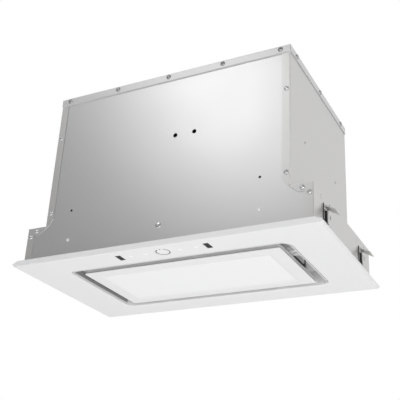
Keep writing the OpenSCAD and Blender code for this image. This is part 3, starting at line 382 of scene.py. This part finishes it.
softenLimits = {"merge": 0.000002, "flat": radians(0.5), "sharp": radians(40)}


# A CAD node's sheet with its folds and cut edges rounded: each pass picks edges and gives them a radius
def softenNode(node, passes, reshape=None):
    bm = bmesh.new()
    bm.from_mesh(cadNodes[node].data)
    bmesh.ops.remove_doubles(bm, verts=bm.verts, dist=softenLimits["merge"])
    bmesh.ops.dissolve_limit(bm, angle_limit=softenLimits["flat"], verts=bm.verts, edges=bm.edges)
    for picks, width, steps in passes:
        edges = [
            e for e in bm.edges
            if len(e.link_faces) == 2 and e.calc_face_angle(0) > softenLimits["sharp"] and picks(e)
        ]
        bevelEdges(bm, edges, width, steps)
    if reshape:
        reshape(bm)
    words = node.split("_")
    name = words[0] + "".join(w.capitalize() for w in words[1:])
    return addPiece(bm, name, nodeBodies[node], nodeSlots[node], (node,), recalc=False)


def longerThan(length):
    return lambda e: e.calc_length() > length


def middle(e):
    return (e.verts[0].co + e.verts[1].co) / 2


# Bottom panel: folded tray with a soft outer fold, a rolled opening and low side rims
panelShape = {"width": 525 * mm, "depth": 290 * mm, "fold": 1.5 * mm, "lip": 2.8 * mm, "near": 0.6 * mm,
              "openingX": (-196 * mm, 202 * mm), "openingY": (-96 * mm, 102 * mm),
              "rim": 4 * mm, "sideRim": 4.2 * mm, "slopeStart": 254 * mm}


def onPanelRim(e):
    c = middle(e)
    wide, deep = panelShape["width"] / 2 - panelShape["rim"], panelShape["depth"] / 2 - panelShape["rim"]
    outside = abs(c.x) > wide or abs(c.y) > deep
    return outside and all(abs(v.co.z) < panelShape["near"] for v in e.verts)


def onPanelMouth(e):
    c = middle(e)
    low, high = panelShape["openingX"]
    front, rear = panelShape["openingY"]
    inside = low < c.x < high and front < c.y < rear
    return inside and all(abs(v.co.z) < panelShape["near"] for v in e.verts)


# The rim drops towards the corners and stays low along both sides
def lowerSideRims(bm):
    for side in (-1, 1):
        bmesh.ops.bisect_plane(bm, geom=bm.verts[:] + bm.edges[:] + bm.faces[:], dist=mergeGap,
                               plane_co=(side * panelShape["slopeStart"], 0, 0), plane_no=(1, 0, 0))
    for v in bm.verts:
        if abs(v.co.x) > panelShape["slopeStart"] + mm and v.co.z > panelShape["sideRim"]:
            v.co.z = panelShape["sideRim"]


softenNode("panel_frame", [
    (onPanelRim, panelShape["fold"], 4),
    (onPanelMouth, panelShape["lip"], 5),
], lowerSideRims)

# Body sheets: the side panels fold round the front and rear with a small radius
bodyShape = {"fold": 2.0 * mm, "cut": 0.6 * mm, "long": 3 * mm, "frontPlane": -136.3 * mm,
             "rearPlane": 140.7 * mm, "walls": (215 * mm, 250 * mm), "near": 0.2 * mm, "flush": 0.1 * mm,
             "tall": 10 * mm, "upright": 0.9}


def onSideFold(e):
    along = (e.verts[1].co - e.verts[0].co).normalized()
    c = middle(e)
    near = bodyShape["near"]
    onPlane = min(abs(c.y - bodyShape["frontPlane"]), abs(c.y - bodyShape["rearPlane"])) < near
    outer = min(abs(abs(c.x) - wall) for wall in bodyShape["walls"]) < near
    upright = abs(along.z) > bodyShape["upright"]
    return onPlane and outer and upright and e.calc_length() > bodyShape["tall"]


def onFlangeCut(e):
    planes = (bodyShape["frontPlane"], bodyShape["rearPlane"])
    flat = any(all(abs(v.co.y - plane) < bodyShape["flush"] for v in e.verts) for plane in planes)
    return flat and not onSideFold(e) and e.calc_length() > bodyShape["long"]


for side in ("side_panel_left", "side_panel_right"):
    softenNode(side, [(onSideFold, bodyShape["fold"], 3), (onFlangeCut, bodyShape["cut"], 2)])

lidShape = {"fold": 1.0 * mm, "top": 313.9 * mm, "lip": 301 * mm, "hem": 0.5 * mm, "side": 216 * mm,
            "front": -137.3 * mm, "rear": 141.7 * mm, "corner": 10 * mm, "near": 0.2 * mm}


def onLidOutline(e):
    c = middle(e)
    return abs(c.x) > lidShape["side"] or c.y < lidShape["front"] or c.y > lidShape["rear"]


def onLidFold(e):
    high = min(v.co.z for v in e.verts) > lidShape["top"]
    corner = abs(e.verts[0].co.z - e.verts[1].co.z) > lidShape["corner"]
    return onLidOutline(e) and (high or corner)


def onLidHem(e):
    low = max(abs(v.co.z - lidShape["lip"]) for v in e.verts) < lidShape["near"]
    return onLidOutline(e) and low


softenNode("top_cover", [(onLidFold, lidShape["fold"], 3), (onLidHem, lidShape["hem"], 2)])
for node, width, length in (
    ("duct_collar", 0.35, 2.5), ("outlet_box", 0.3, 5), ("flap_frame", 0.3, 6),
    ("filter_frame", 0.35, 6), ("power_board", 0.2, 3), ("electronics_box", 0.5, 5),
    ("electronics_cover", 0.5, 5), ("terminal_block", 0.6, 5), ("motor_bracket", 0.4, 4),
    ("panel_brackets", 0.35, 5), ("hinge_brackets", 0.3, 4), ("flap_catch_left", 0.5, 2),
    ("flap_catch_right", 0.5, 2), ("filter_latch", 0.35, 3), ("clip_housing_front_left", 0.25, 2.5),
    ("clip_housing_front_right", 0.25, 2.5), ("clip_housing_rear_left", 0.25, 2.5),
    ("clip_housing_rear_right", 0.25, 2.5), ("clip_wing_front_left", 0.2, 3),
    ("clip_wing_front_right", 0.2, 3), ("clip_wing_rear_left", 0.2, 3), ("clip_wing_rear_right", 0.2, 3),
    ("clip_springs", 0.2, 2), ("sensor_windows", 0.2, 3), ("indicator_lights", 0.2, 2),
):
    softenNode(node, [(longerThan(length * mm), width * mm, 2)])
print("sheets and mouldings rounded")


# Turned shapes: a profile of radius and height spun round the axis
def spinProfile(points, steps):
    bm = bmesh.new()
    line = [bm.verts.new((radius * mm, 0, height * mm)) for radius, height in points]
    edges = [bm.edges.new(pair) for pair in zip(line, line[1:])]
    bmesh.ops.spin(bm, geom=line + edges, cent=(0, 0, 0), axis=(0, 0, 1), angle=2 * pi, steps=steps,
                   use_merge=True, dvec=(0, 0, 0))
    bmesh.ops.remove_doubles(bm, verts=bm.verts, dist=mergeGap)
    return bm


def meshOf(bm, name):
    mesh = bpy.data.meshes.new(name)
    bm.to_mesh(mesh)
    bm.free()
    return mesh


# Pan head with a tapered cross recess, cut out of the turned head
def crossHead(points, steps, recess):
    head = bpy.data.objects.new("headBlank", meshOf(spinProfile(points, steps), "headBlank"))
    cutter = bmesh.new()
    for turn in (0, pi / 2):
        made = bmesh.ops.create_cube(cutter, size=1)["verts"]
        for v in made:
            deep = v.co.z < 0
            share = recess["taper"] if deep else 1
            v.co = Vector((v.co.x * recess["length"] * share, v.co.y * recess["width"],
                           recess["low"] if deep else recess["high"])) * mm
        bmesh.ops.rotate(cutter, verts=made, matrix=Matrix.Rotation(turn, 3, "Z"))
    tool = bpy.data.objects.new("recessTool", meshOf(cutter, "recessTool"))
    for thing in (head, tool):
        scene.collection.objects.link(thing)
    cut = head.modifiers.new("recess", "BOOLEAN")
    cut.operation, cut.object, cut.solver, cut.use_self = "DIFFERENCE", tool, "EXACT", True
    bpy.context.view_layer.update()
    done = bpy.data.meshes.new_from_object(head.evaluated_get(bpy.context.evaluated_depsgraph_get()))
    for thing in (head, tool):
        bpy.data.objects.remove(thing)
    return done


def placeCopies(mesh, places):
    bm = bmesh.new()
    for where, axis, turn in places:
        start = len(bm.verts)
        bm.from_mesh(mesh)
        bm.verts.ensure_lookup_table()
        stand = Vector((0, 0, 1)).rotation_difference(Vector(axis)).to_matrix().to_4x4()
        move = Matrix.Translation(Vector(where) * mm) @ stand @ Matrix.Rotation(radians(turn), 4, "Z")
        bmesh.ops.transform(bm, matrix=move, verts=bm.verts[start:])
    return bm


screwHead = {
    "profile": [(0, 2.25), (1.3, 2.2), (2.5, 1.95), (3.3, 1.45), (3.65, 0.85), (3.7, 0.5), (3.98, 0.42),
                (3.98, 0), (1.7, 0), (1.7, -6.8), (0, -6.8)],
    "steps": 20,
    "recess": {"length": 4.6, "width": 0.95, "taper": 0.5, "low": 0.9, "high": 3},
}
lidScrewPlan = {"pitch": 99.5, "sidePitch": 111, "height": 308, "front": -137.5, "rear": 141.9,
                "side": 216.2, "middle": 2.2, "wide": 1.08, "turns": (12, 51, 33, 74, 8)}
flangeScrewPlan = {"front": -136.3, "rear": 140.7,
                   "places": ((209, 234), (209, 91), (233.3, 62.3), (244, 53)), "turns": (20, 65, 38, 5)}
screwMesh = crossHead(screwHead["profile"], screwHead["steps"], screwHead["recess"])
lidScrewProfile = [(r * lidScrewPlan["wide"], h) for r, h in screwHead["profile"]]
lidScrewMesh = crossHead(lidScrewProfile, screwHead["steps"], screwHead["recess"])


def lidScrewPlaces(plan):
    for i in range(5):
        x, turn = (i - 2) * plan["pitch"], plan["turns"][i]
        yield (x, plan["front"], plan["height"]), (0, -1, 0), turn
        yield (x, plan["rear"], plan["height"]), (0, 1, 0), turn
    for i in range(3):
        y, turn = plan["middle"] + (i - 1) * plan["sidePitch"], plan["turns"][i + 1]
        yield (plan["side"], y, plan["height"]), (1, 0, 0), turn
        yield (-plan["side"], y, plan["height"]), (-1, 0, 0), turn


def flangeScrewPlaces(plan):
    for (x, z), turn in zip(plan["places"], plan["turns"]):
        for side in (-1, 1):
            yield (side * x, plan["front"], z), (0, -1, 0), turn
            yield (side * x, plan["rear"], z), (0, 1, 0), turn


addPiece(placeCopies(lidScrewMesh, lidScrewPlaces(lidScrewPlan)), "lidScrewHeads", "cabinet",
         "dark_screw", ("lid_screws",), recalc=False)
addPiece(placeCopies(screwMesh, flangeScrewPlaces(flangeScrewPlan)), "flangeScrewHeads", "cabinet",
         "bright_screw", ("zinc_screws",), recalc=False)
collarScrewPlan = {"ring": 80.5, "height": 316.5, "middle": 2.2, "turn": 30}
collarPlaces = [
    ((collarScrewPlan["ring"] * cos(a), collarScrewPlan["middle"] + collarScrewPlan["ring"] * sin(a),
      collarScrewPlan["height"]), (0, 0, 1), collarScrewPlan["turn"])
    for a in (pi / 4, 3 * pi / 4, 5 * pi / 4, 7 * pi / 4)
]
addPiece(placeCopies(screwMesh, collarPlaces), "collarScrewHeads", "cabinet", "bright_screw",
         ("zinc_screws",), recalc=False)

bracketScrewPlan = {"x": 167.5, "front": -128.3, "rear": 132.7, "height": 11.5,
                    "turns": (14, 40, 62, 27)}
bracketPlaces = [
    ((side * bracketScrewPlan["x"], bracketScrewPlan[face], bracketScrewPlan["height"]), (0, 0, 1), turn)
    for (side, face), turn in zip(((-1, "front"), (1, "front"), (-1, "rear"), (1, "rear")),
                                  bracketScrewPlan["turns"])
]
addPiece(placeCopies(screwMesh, bracketPlaces), "bracketScrewHeads", "cabinet", "bright_screw",
         ("zinc_screws",), recalc=False)

# Rivets low on the front and rear, and the larger screw in the front's middle
rivetShape = {
    "profile": [(0, 0.75), (0.75, 0.75), (0.9, 1.5), (1.5, 1.55), (2.2, 1.2), (2.6, 0.6), (2.69, 0),
                (1.8, 0), (1.8, -2.4), (0, -2.4)],
    "steps": 24,
}
rivetPlan = {"x": 167.5, "z": 38.7, "front": -135.3, "rear": 139.7}
rivetPlaces = [
    ((side * rivetPlan["x"], rivetPlan[face], rivetPlan["z"]), (0, -1 if face == "front" else 1, 0), 0)
    for side in (-1, 1) for face in ("front", "rear")
]
rivetMesh = meshOf(spinProfile(rivetShape["profile"], rivetShape["steps"]), "rivet")
addPiece(placeCopies(rivetMesh, rivetPlaces), "panelRivets", "cabinet", "stud_bright", ("panel_studs",))
plugShape = {
    "profile": [(0, 1.48), (2.2, 1.42), (3.9, 1.15), (4.8, 0.75), (5.2, 0.35), (5.28, 0), (3.5, 0),
                (3.5, -3.9), (0, -3.9)],
    "steps": 28,
    "recess": {"length": 6.2, "width": 1.3, "taper": 0.5, "low": 0.35, "high": 2},
    "place": (0, -135.3, 39.5),
    "turn": 25,
}
plugMesh = crossHead(plugShape["profile"], plugShape["steps"], plugShape["recess"])
plugPlace = (plugShape["place"], (0, -1, 0), plugShape["turn"])
addPiece(placeCopies(plugMesh, [plugPlace]), "centreScrew", "cabinet",
         "bright_screw", ("centre_plug",), recalc=False)
print("screws and rivets placed")

# Loops for flat rounded shapes
cornerSteps = 6


def roundedLoop(bm, width, depth, corner, height, centre):
    half = pi / (4 * cornerSteps)
    turn = Matrix.Rotation(half, 4, "Z")
    ring = bmesh.ops.create_circle(bm, cap_ends=False, radius=corner / cos(half) * mm,
                                   segments=4 * cornerSteps, matrix=turn)["verts"]
    for v in ring:
        v.co += Vector((centre[0] + copysign(width / 2 - corner, v.co.x),
                        centre[1] + copysign(depth / 2 - corner, v.co.y), height)) * mm
    return list({e for v in ring for e in v.link_edges})


def loftLoops(bm, loops, closed):
    rings = [roundedLoop(bm, *loop) for loop in loops]
    pairs = list(zip(rings, rings[1:])) + ([(rings[-1], rings[0])] if closed else [])
    for first, second in pairs:
        bmesh.ops.bridge_loops(bm, edges=first + second)
    return rings


# Flap face: flat border, then a shallow slope down to the lamp window
flapFace = {"centre": (3, 5), "outer": (346, 162), "edge": 0.5, "slope": 6, "window": (292, 112),
            "low": 0.5, "high": 1.7, "seat": 1.55, "corner": 4, "chamferCorner": 3.8, "faceCorner": 3.5,
            "slopeCorners": (6, 5.8), "windowPlay": 0.5, "slopeLip": (0.6, 0.2), "seatStep": 0.05}


def makeFlapFace(shape):
    bm = bmesh.new()
    w, d = shape["outer"]
    ww, wd = shape["window"]
    low, high, edge, slope = shape["low"], shape["high"], shape["edge"], shape["slope"]
    corner, chamfer, face = shape["corner"], shape["chamferCorner"], shape["faceCorner"]
    outerSlope, innerSlope = shape["slopeCorners"]
    play, seat = shape["windowPlay"], shape["seat"]
    lipIn, lipUp = shape["slopeLip"]
    plan = [
        (w, d, corner, high), (w, d, corner, low + edge),
        (w - 0.6 * edge, d - 0.6 * edge, chamfer, low + 0.25 * edge),
        (w - 2 * edge, d - 2 * edge, face, low), (ww + 2 * slope, wd + 2 * slope, outerSlope, low),
        (ww + 2 * slope - lipIn, wd + 2 * slope - lipIn, innerSlope, low + lipUp),
        (ww + play, wd + play, corner, seat), (ww, wd, chamfer, seat + shape["seatStep"]),
        (ww, wd, chamfer, high),
    ]
    loftLoops(bm, [(*row, shape["centre"]) for row in plan], closed=True)
    return bm


addPiece(makeFlapFace(flapFace), "flapFace", "flap", "panel_white", ("flap_plate",))

# Power key: shallow dish with a chamfered rim, bright lens and printed mark
keyShape = {
    "centre": (3.9, -121),
    "steps": 64,
    "profile": [(0, 1.1), (9.6, 1.1), (9.6, 0.34), (9.8, 0.3), (12.3, 0.3), (12.6, 0.42), (12.7, 0.7),
                (12.7, 1), (14.2, 1), (14.2, 2), (3, 2), (3, 3.1), (0, 3.1)],
    "lens": [(0, 0.36), (7, 0.35), (9.3, 0.31), (9.55, 0.4), (9.55, 1.1), (0, 1.1)],
    "mark": {"inner": 9.95, "outer": 11.5, "low": 0.26, "high": 0.32, "gap": 50, "strokeIn": 8.6,
             "strokeOut": 12.2, "steps": 60},
}


def keyPart(bm):
    x, y = keyShape["centre"]
    bmesh.ops.translate(bm, verts=bm.verts, vec=Vector((x, y, 0)) * mm)
    return bm


for part, name, node in (("profile", "powerKey", "power_button"), ("lens", "powerLens", "button_lens")):
    turned = spinProfile(keyShape[part], keyShape["steps"])
    addPiece(keyPart(turned), name, "power_button", "white_plastic", (node,))


def makeMark(mark):
    bm = bmesh.new()
    corners = [(mark["inner"], mark["low"]), (mark["outer"], mark["low"]), (mark["outer"], mark["high"]),
               (mark["inner"], mark["high"])]
    face = bm.faces.new([bm.verts.new((r * mm, 0, z * mm)) for r, z in corners])
    start = Matrix.Rotation(radians(mark["gap"] / 2 - 90), 3, "Z")
    bmesh.ops.rotate(bm, verts=bm.verts, matrix=start)
    bmesh.ops.spin(bm, geom=[face], cent=(0, 0, 0), axis=(0, 0, 1), dvec=(0, 0, 0),
                   angle=radians(360 - mark["gap"]), steps=mark["steps"], use_merge=False)
    stroke = bmesh.ops.create_cube(bm, size=1)["verts"]
    wide = (mark["outer"] - mark["inner"]) * mm
    tall = (mark["strokeOut"] - mark["strokeIn"]) * mm
    thick = (mark["high"] - mark["low"]) * mm
    bmesh.ops.scale(bm, verts=stroke, vec=(wide, tall, thick))
    centre = (0, -(mark["strokeIn"] + mark["strokeOut"]) / 2 * mm, (mark["low"] + mark["high"]) / 2 * mm)
    bmesh.ops.translate(bm, verts=stroke, vec=centre)
    bmesh.ops.remove_doubles(bm, verts=bm.verts, dist=mergeGap)
    return bm


addPiece(keyPart(makeMark(keyShape["mark"])), "powerMark", "power_button", "print_grey")
print("flap face and power key made")

# Grease filter: expanded metal in three layers behind the frame
filterWeave = {"centre": (3, 3), "size": (306, 136), "cell": (8.0, 4.6), "strand": 0.75, "thick": 0.5,
               "layers": (21.4, 23.2, 25.0), "bay": (20.6, -42.6), "core": (26.6, 28.6),
               "drift": (1.7, 1.1), "wideShare": 1.6, "merge": 0.01}


def copyAlong(bm, geom, count, step):
    made = list(geom)
    for i in range(1, count):
        copy = bmesh.ops.duplicate(bm, geom=geom)["geom"]
        bmesh.ops.translate(bm, verts=[g for g in copy if isinstance(g, bmesh.types.BMVert)],
                            vec=Vector(step) * i)
        made += copy
    return made


def makeLattice(plan, height, shift):
    bm = bmesh.new()
    cx, cy = plan["cell"]
    s = plan["strand"]
    w, d = plan["size"]
    outer = bmesh.ops.create_circle(bm, cap_ends=False, radius=1, segments=4)["verts"]
    inner = bmesh.ops.create_circle(bm, cap_ends=False, radius=1, segments=4)["verts"]
    bmesh.ops.scale(bm, verts=outer, vec=(cx / 2, cy / 2, 1))
    bmesh.ops.scale(bm, verts=inner, vec=(cx / 2 - plan["wideShare"] * s, cy / 2 - s, 1))
    bmesh.ops.bridge_loops(bm, edges=list(bm.edges))
    columns, rows = int(w / cx), int(d / cy)
    second = bmesh.ops.duplicate(bm, geom=bm.verts[:] + bm.edges[:] + bm.faces[:])["geom"]
    bmesh.ops.translate(bm, verts=[g for g in second if isinstance(g, bmesh.types.BMVert)],
                        vec=(cx / 2, cy / 2, 0))
    line = copyAlong(bm, bm.verts[:] + bm.edges[:] + bm.faces[:], columns, (cx, 0, 0))
    copyAlong(bm, line, rows, (0, cy, 0))
    start = (shift[0] - (columns - 0.5) * cx / 2, shift[1] - (rows - 0.5) * cy / 2, height)
    bmesh.ops.translate(bm, verts=bm.verts, vec=start)
    bmesh.ops.remove_doubles(bm, verts=bm.verts, dist=plan["merge"])
    bayX, bayY = plan["bay"]
    gone = [
        v for v in bm.verts
        if abs(v.co.x) > w / 2 or abs(v.co.y) > d / 2 or (abs(v.co.x) < bayX and v.co.y < bayY)
    ]
    bmesh.ops.delete(bm, geom=gone, context="VERTS")
    return bm


def makeFilterWeave(plan):
    bm = bmesh.new()
    driftX, driftY = plan["drift"]
    for i, height in enumerate(plan["layers"]):
        bm.from_mesh(meshOf(makeLattice(plan, height, (i * driftX, i * driftY)), "layer"))
    bmesh.ops.translate(bm, verts=bm.verts, vec=(*plan["centre"], 0))
    bmesh.ops.scale(bm, verts=bm.verts, vec=(mm, mm, mm))
    return bm


weave = addPiece(makeFilterWeave(filterWeave), "filterWeave", "cabinet", "filter_metal",
                 ("filter_mesh",))
thicken = weave.modifiers.new("strandThickness", "SOLIDIFY")
thicken.thickness, thicken.offset = filterWeave["thick"] * mm, 0


def makeFilterCore(plan):
    bm = bmesh.new()
    w, d = plan["size"]
    low, high = plan["core"]
    loops = [(w, d, 1, height, plan["centre"]) for height in (low, high)]
    rings = loftLoops(bm, loops, closed=False)
    for ring in rings:
        bmesh.ops.contextual_create(bm, geom=ring)
    return bm


addPiece(makeFilterCore(filterWeave), "filterCore", "cabinet", "filter_metal", ("filter_mesh",))
print("grease filter woven")

# Cable gland: hexagon nuts and a ribbed cap on the lid
glandShape = {
    "centre": (150, 92), "top": 314,
    "body": [(4, 12), (6.2, 12), (7.6, 11.2), (8.6, 9), (8.9, 5.5), (8.9, -5.9), (4, -5.9), (4, 12)],
    "nut": [(8.9, 0), (11.2, 0), (12, 0.8), (12, 4.2), (11.2, 5), (8.9, 5), (8.9, 0)],
    "lowNut": [(8.9, -6), (11.4, -6), (12, -5.4), (12, -1.05), (8.9, -1.05), (8.9, -6)],
    "steps": 36, "ribs": 12, "ribSize": (0.9, 1.1, 4.5), "ribPlace": (8.6, 0, 7.4),
}


def makeGland(shape):
    bm = spinProfile(shape["body"], shape["steps"])
    for part in ("nut", "lowNut"):
        bm.from_mesh(meshOf(spinProfile(shape[part], 6), part))
    for i in range(shape["ribs"]):
        rib = bmesh.ops.create_cube(bm, size=1)["verts"]
        bmesh.ops.scale(bm, verts=rib, vec=Vector(shape["ribSize"]) * mm)
        bmesh.ops.translate(bm, verts=rib, vec=Vector(shape["ribPlace"]) * mm)
        bmesh.ops.rotate(bm, verts=rib, matrix=Matrix.Rotation(i * 2 * pi / shape["ribs"], 3, "Z"))
    x, y = shape["centre"]
    bmesh.ops.translate(bm, verts=bm.verts, vec=Vector((x, y, shape["top"])) * mm)
    return bm


addPiece(makeGland(glandShape), "cableGland", "cabinet", "black_plastic", ("cable_gland",))
print("cable gland made")

# Lamp connector: base at the ceiling, thin stem and plug
connectorShape = {"edge": 0.35, "parts": (((177.5, 14, 20), (183.5, 24, 26)),
                                          ((180, 17.6, 8), (182, 20, 20.5)),
                                          ((179, 16.6, 5), (181.6, 20.6, 9)))}


def addBlock(bm, low, high, edge=0):
    size = Vector(high) - Vector(low)
    made = bmesh.ops.create_cube(bm, size=1)["verts"]
    bmesh.ops.scale(bm, verts=made, vec=size * mm)
    bmesh.ops.translate(bm, verts=made, vec=(Vector(high) + Vector(low)) / 2 * mm)
    bevelEdges(bm, list({e for v in made for e in v.link_edges}), edge * mm, 2)


def makeConnector(shape):
    bm = bmesh.new()
    for low, high in shape["parts"]:
        addBlock(bm, low, high, shape["edge"])
    return bm


addPiece(makeConnector(connectorShape), "lampConnector", "cabinet", "black_plastic",
         ("lamp_connector",))

# Clips: bright edges of the slots, and small black dots on the side walls
clipPlan = {"wall": 250, "pitch": 174, "middle": 2.2, "low": 27.4, "high": 52.7, "outer": 10.75,
            "cheek": 1.2, "proud": 1.45, "edge": 0.3, "bury": 0.5, "plugRadius": 1.1, "plugProud": 0.15,
            "plugSteps": 16, "plugs": ((-19, 46), (-19.7, 28), (19.5, 62), (19.2, 57.7))}


def clipCentres(plan):
    for side in (-1, 1):
        for row in (-1, 1):
            yield side, plan["middle"] + row * plan["pitch"] / 2


def makeCheeks(plan):
    bm = bmesh.new()
    for side, y in clipCentres(plan):
        near, far = sorted((side * (plan["wall"] - plan["bury"]), side * (plan["wall"] + plan["proud"])))
        for turn in (-1, 1):
            inner, outer = sorted((turn * (plan["outer"] - plan["cheek"]), turn * plan["outer"]))
            addBlock(bm, (near, y + inner, plan["low"]), (far, y + outer, plan["high"]), plan["edge"])
    return bm


def darkDotPlaces(plan):
    for side, y in clipCentres(plan):
        for shift, height in plan["plugs"]:
            yield (side * plan["wall"], y + shift, height), (side, 0, 0), 0


addPiece(makeCheeks(clipPlan), "clipCheeks", "cabinet", "clip_white")
wallPlug = [(0, clipPlan["plugProud"]), (clipPlan["plugRadius"], clipPlan["plugProud"]),
            (clipPlan["plugRadius"], -clipPlan["bury"]), (0, -clipPlan["bury"])]
darkDotMesh = meshOf(spinProfile(wallPlug, clipPlan["plugSteps"]), "wallPlug")
addPiece(placeCopies(darkDotMesh, darkDotPlaces(clipPlan)), "wallPlugs", "cabinet", "black_plastic")

# Strip under the lid's lip that closes the step to the sheets, and a dark grey strip on the opening's
# left wall as painted shade of the left gap
lidStrip = {"x": 216, "front": -137.3, "rear": 141.7, "low": 300.35, "high": 301.1, "deep": 2.2}
foamSeal = ((-187.6, -88, 4.6), (-187.05, 94, 15))


def makeLidStrip(plan):
    bm = bmesh.new()
    x, deep, low, high = plan["x"], plan["deep"], plan["low"], plan["high"]
    addBlock(bm, (-x, plan["front"], low), (x, plan["front"] + deep, high))
    addBlock(bm, (-x, plan["rear"] - deep, low), (x, plan["rear"], high))
    return bm


addPiece(makeLidStrip(lidStrip), "lidStrip", "cabinet", "seam_white")
# Dark grey strip on the opening's left wall: painted shade where the flap shadows the left gap
shadeStrip = bmesh.new()
addBlock(shadeStrip, *foamSeal)
addPiece(shadeStrip, "foamSeal", "cabinet", "rubber_grey")
print("connector, clip trims and seals made")

# Dark grey band between the flap's plate and its frame, along the flap's edge
flapBandShape = {"width": 346, "depth": 162, "corner": 3, "inset": 0.25, "wall": 2.4, "low": 1.8,
               "high": 3}


def makeFlapBand(shape):
    bm = bmesh.new()
    plan = []
    for inset, height in ((shape["inset"], shape["low"]), (shape["inset"], shape["high"]),
                          (shape["wall"], shape["high"]), (shape["wall"], shape["low"])):
        plan.append((shape["width"] - 2 * inset, shape["depth"] - 2 * inset, shape["corner"], height,
                     flapFace["centre"]))
    loftLoops(bm, plan, closed=True)
    return bm


addPiece(makeFlapBand(flapBandShape), "flapGasket", "flap", "rubber_grey")
print("flap gasket made")


# Floor under the hood, not part of it
def addFloor(look):
    bm = bmesh.new()
    bmesh.ops.create_grid(bm, x_segments=2, y_segments=2, size=look["size"] / 2)
    bmesh.ops.translate(bm, verts=bm.verts, vec=(0, 0, look["height"]))
    floor = bpy.data.objects.new("floor", meshOf(bm, "floor"))
    floor.data.materials.append(materials["floor_white"])
    scene.collection.objects.link(floor)


addFloor(floorLook)
bpy.context.view_layer.update()
print("scene done")
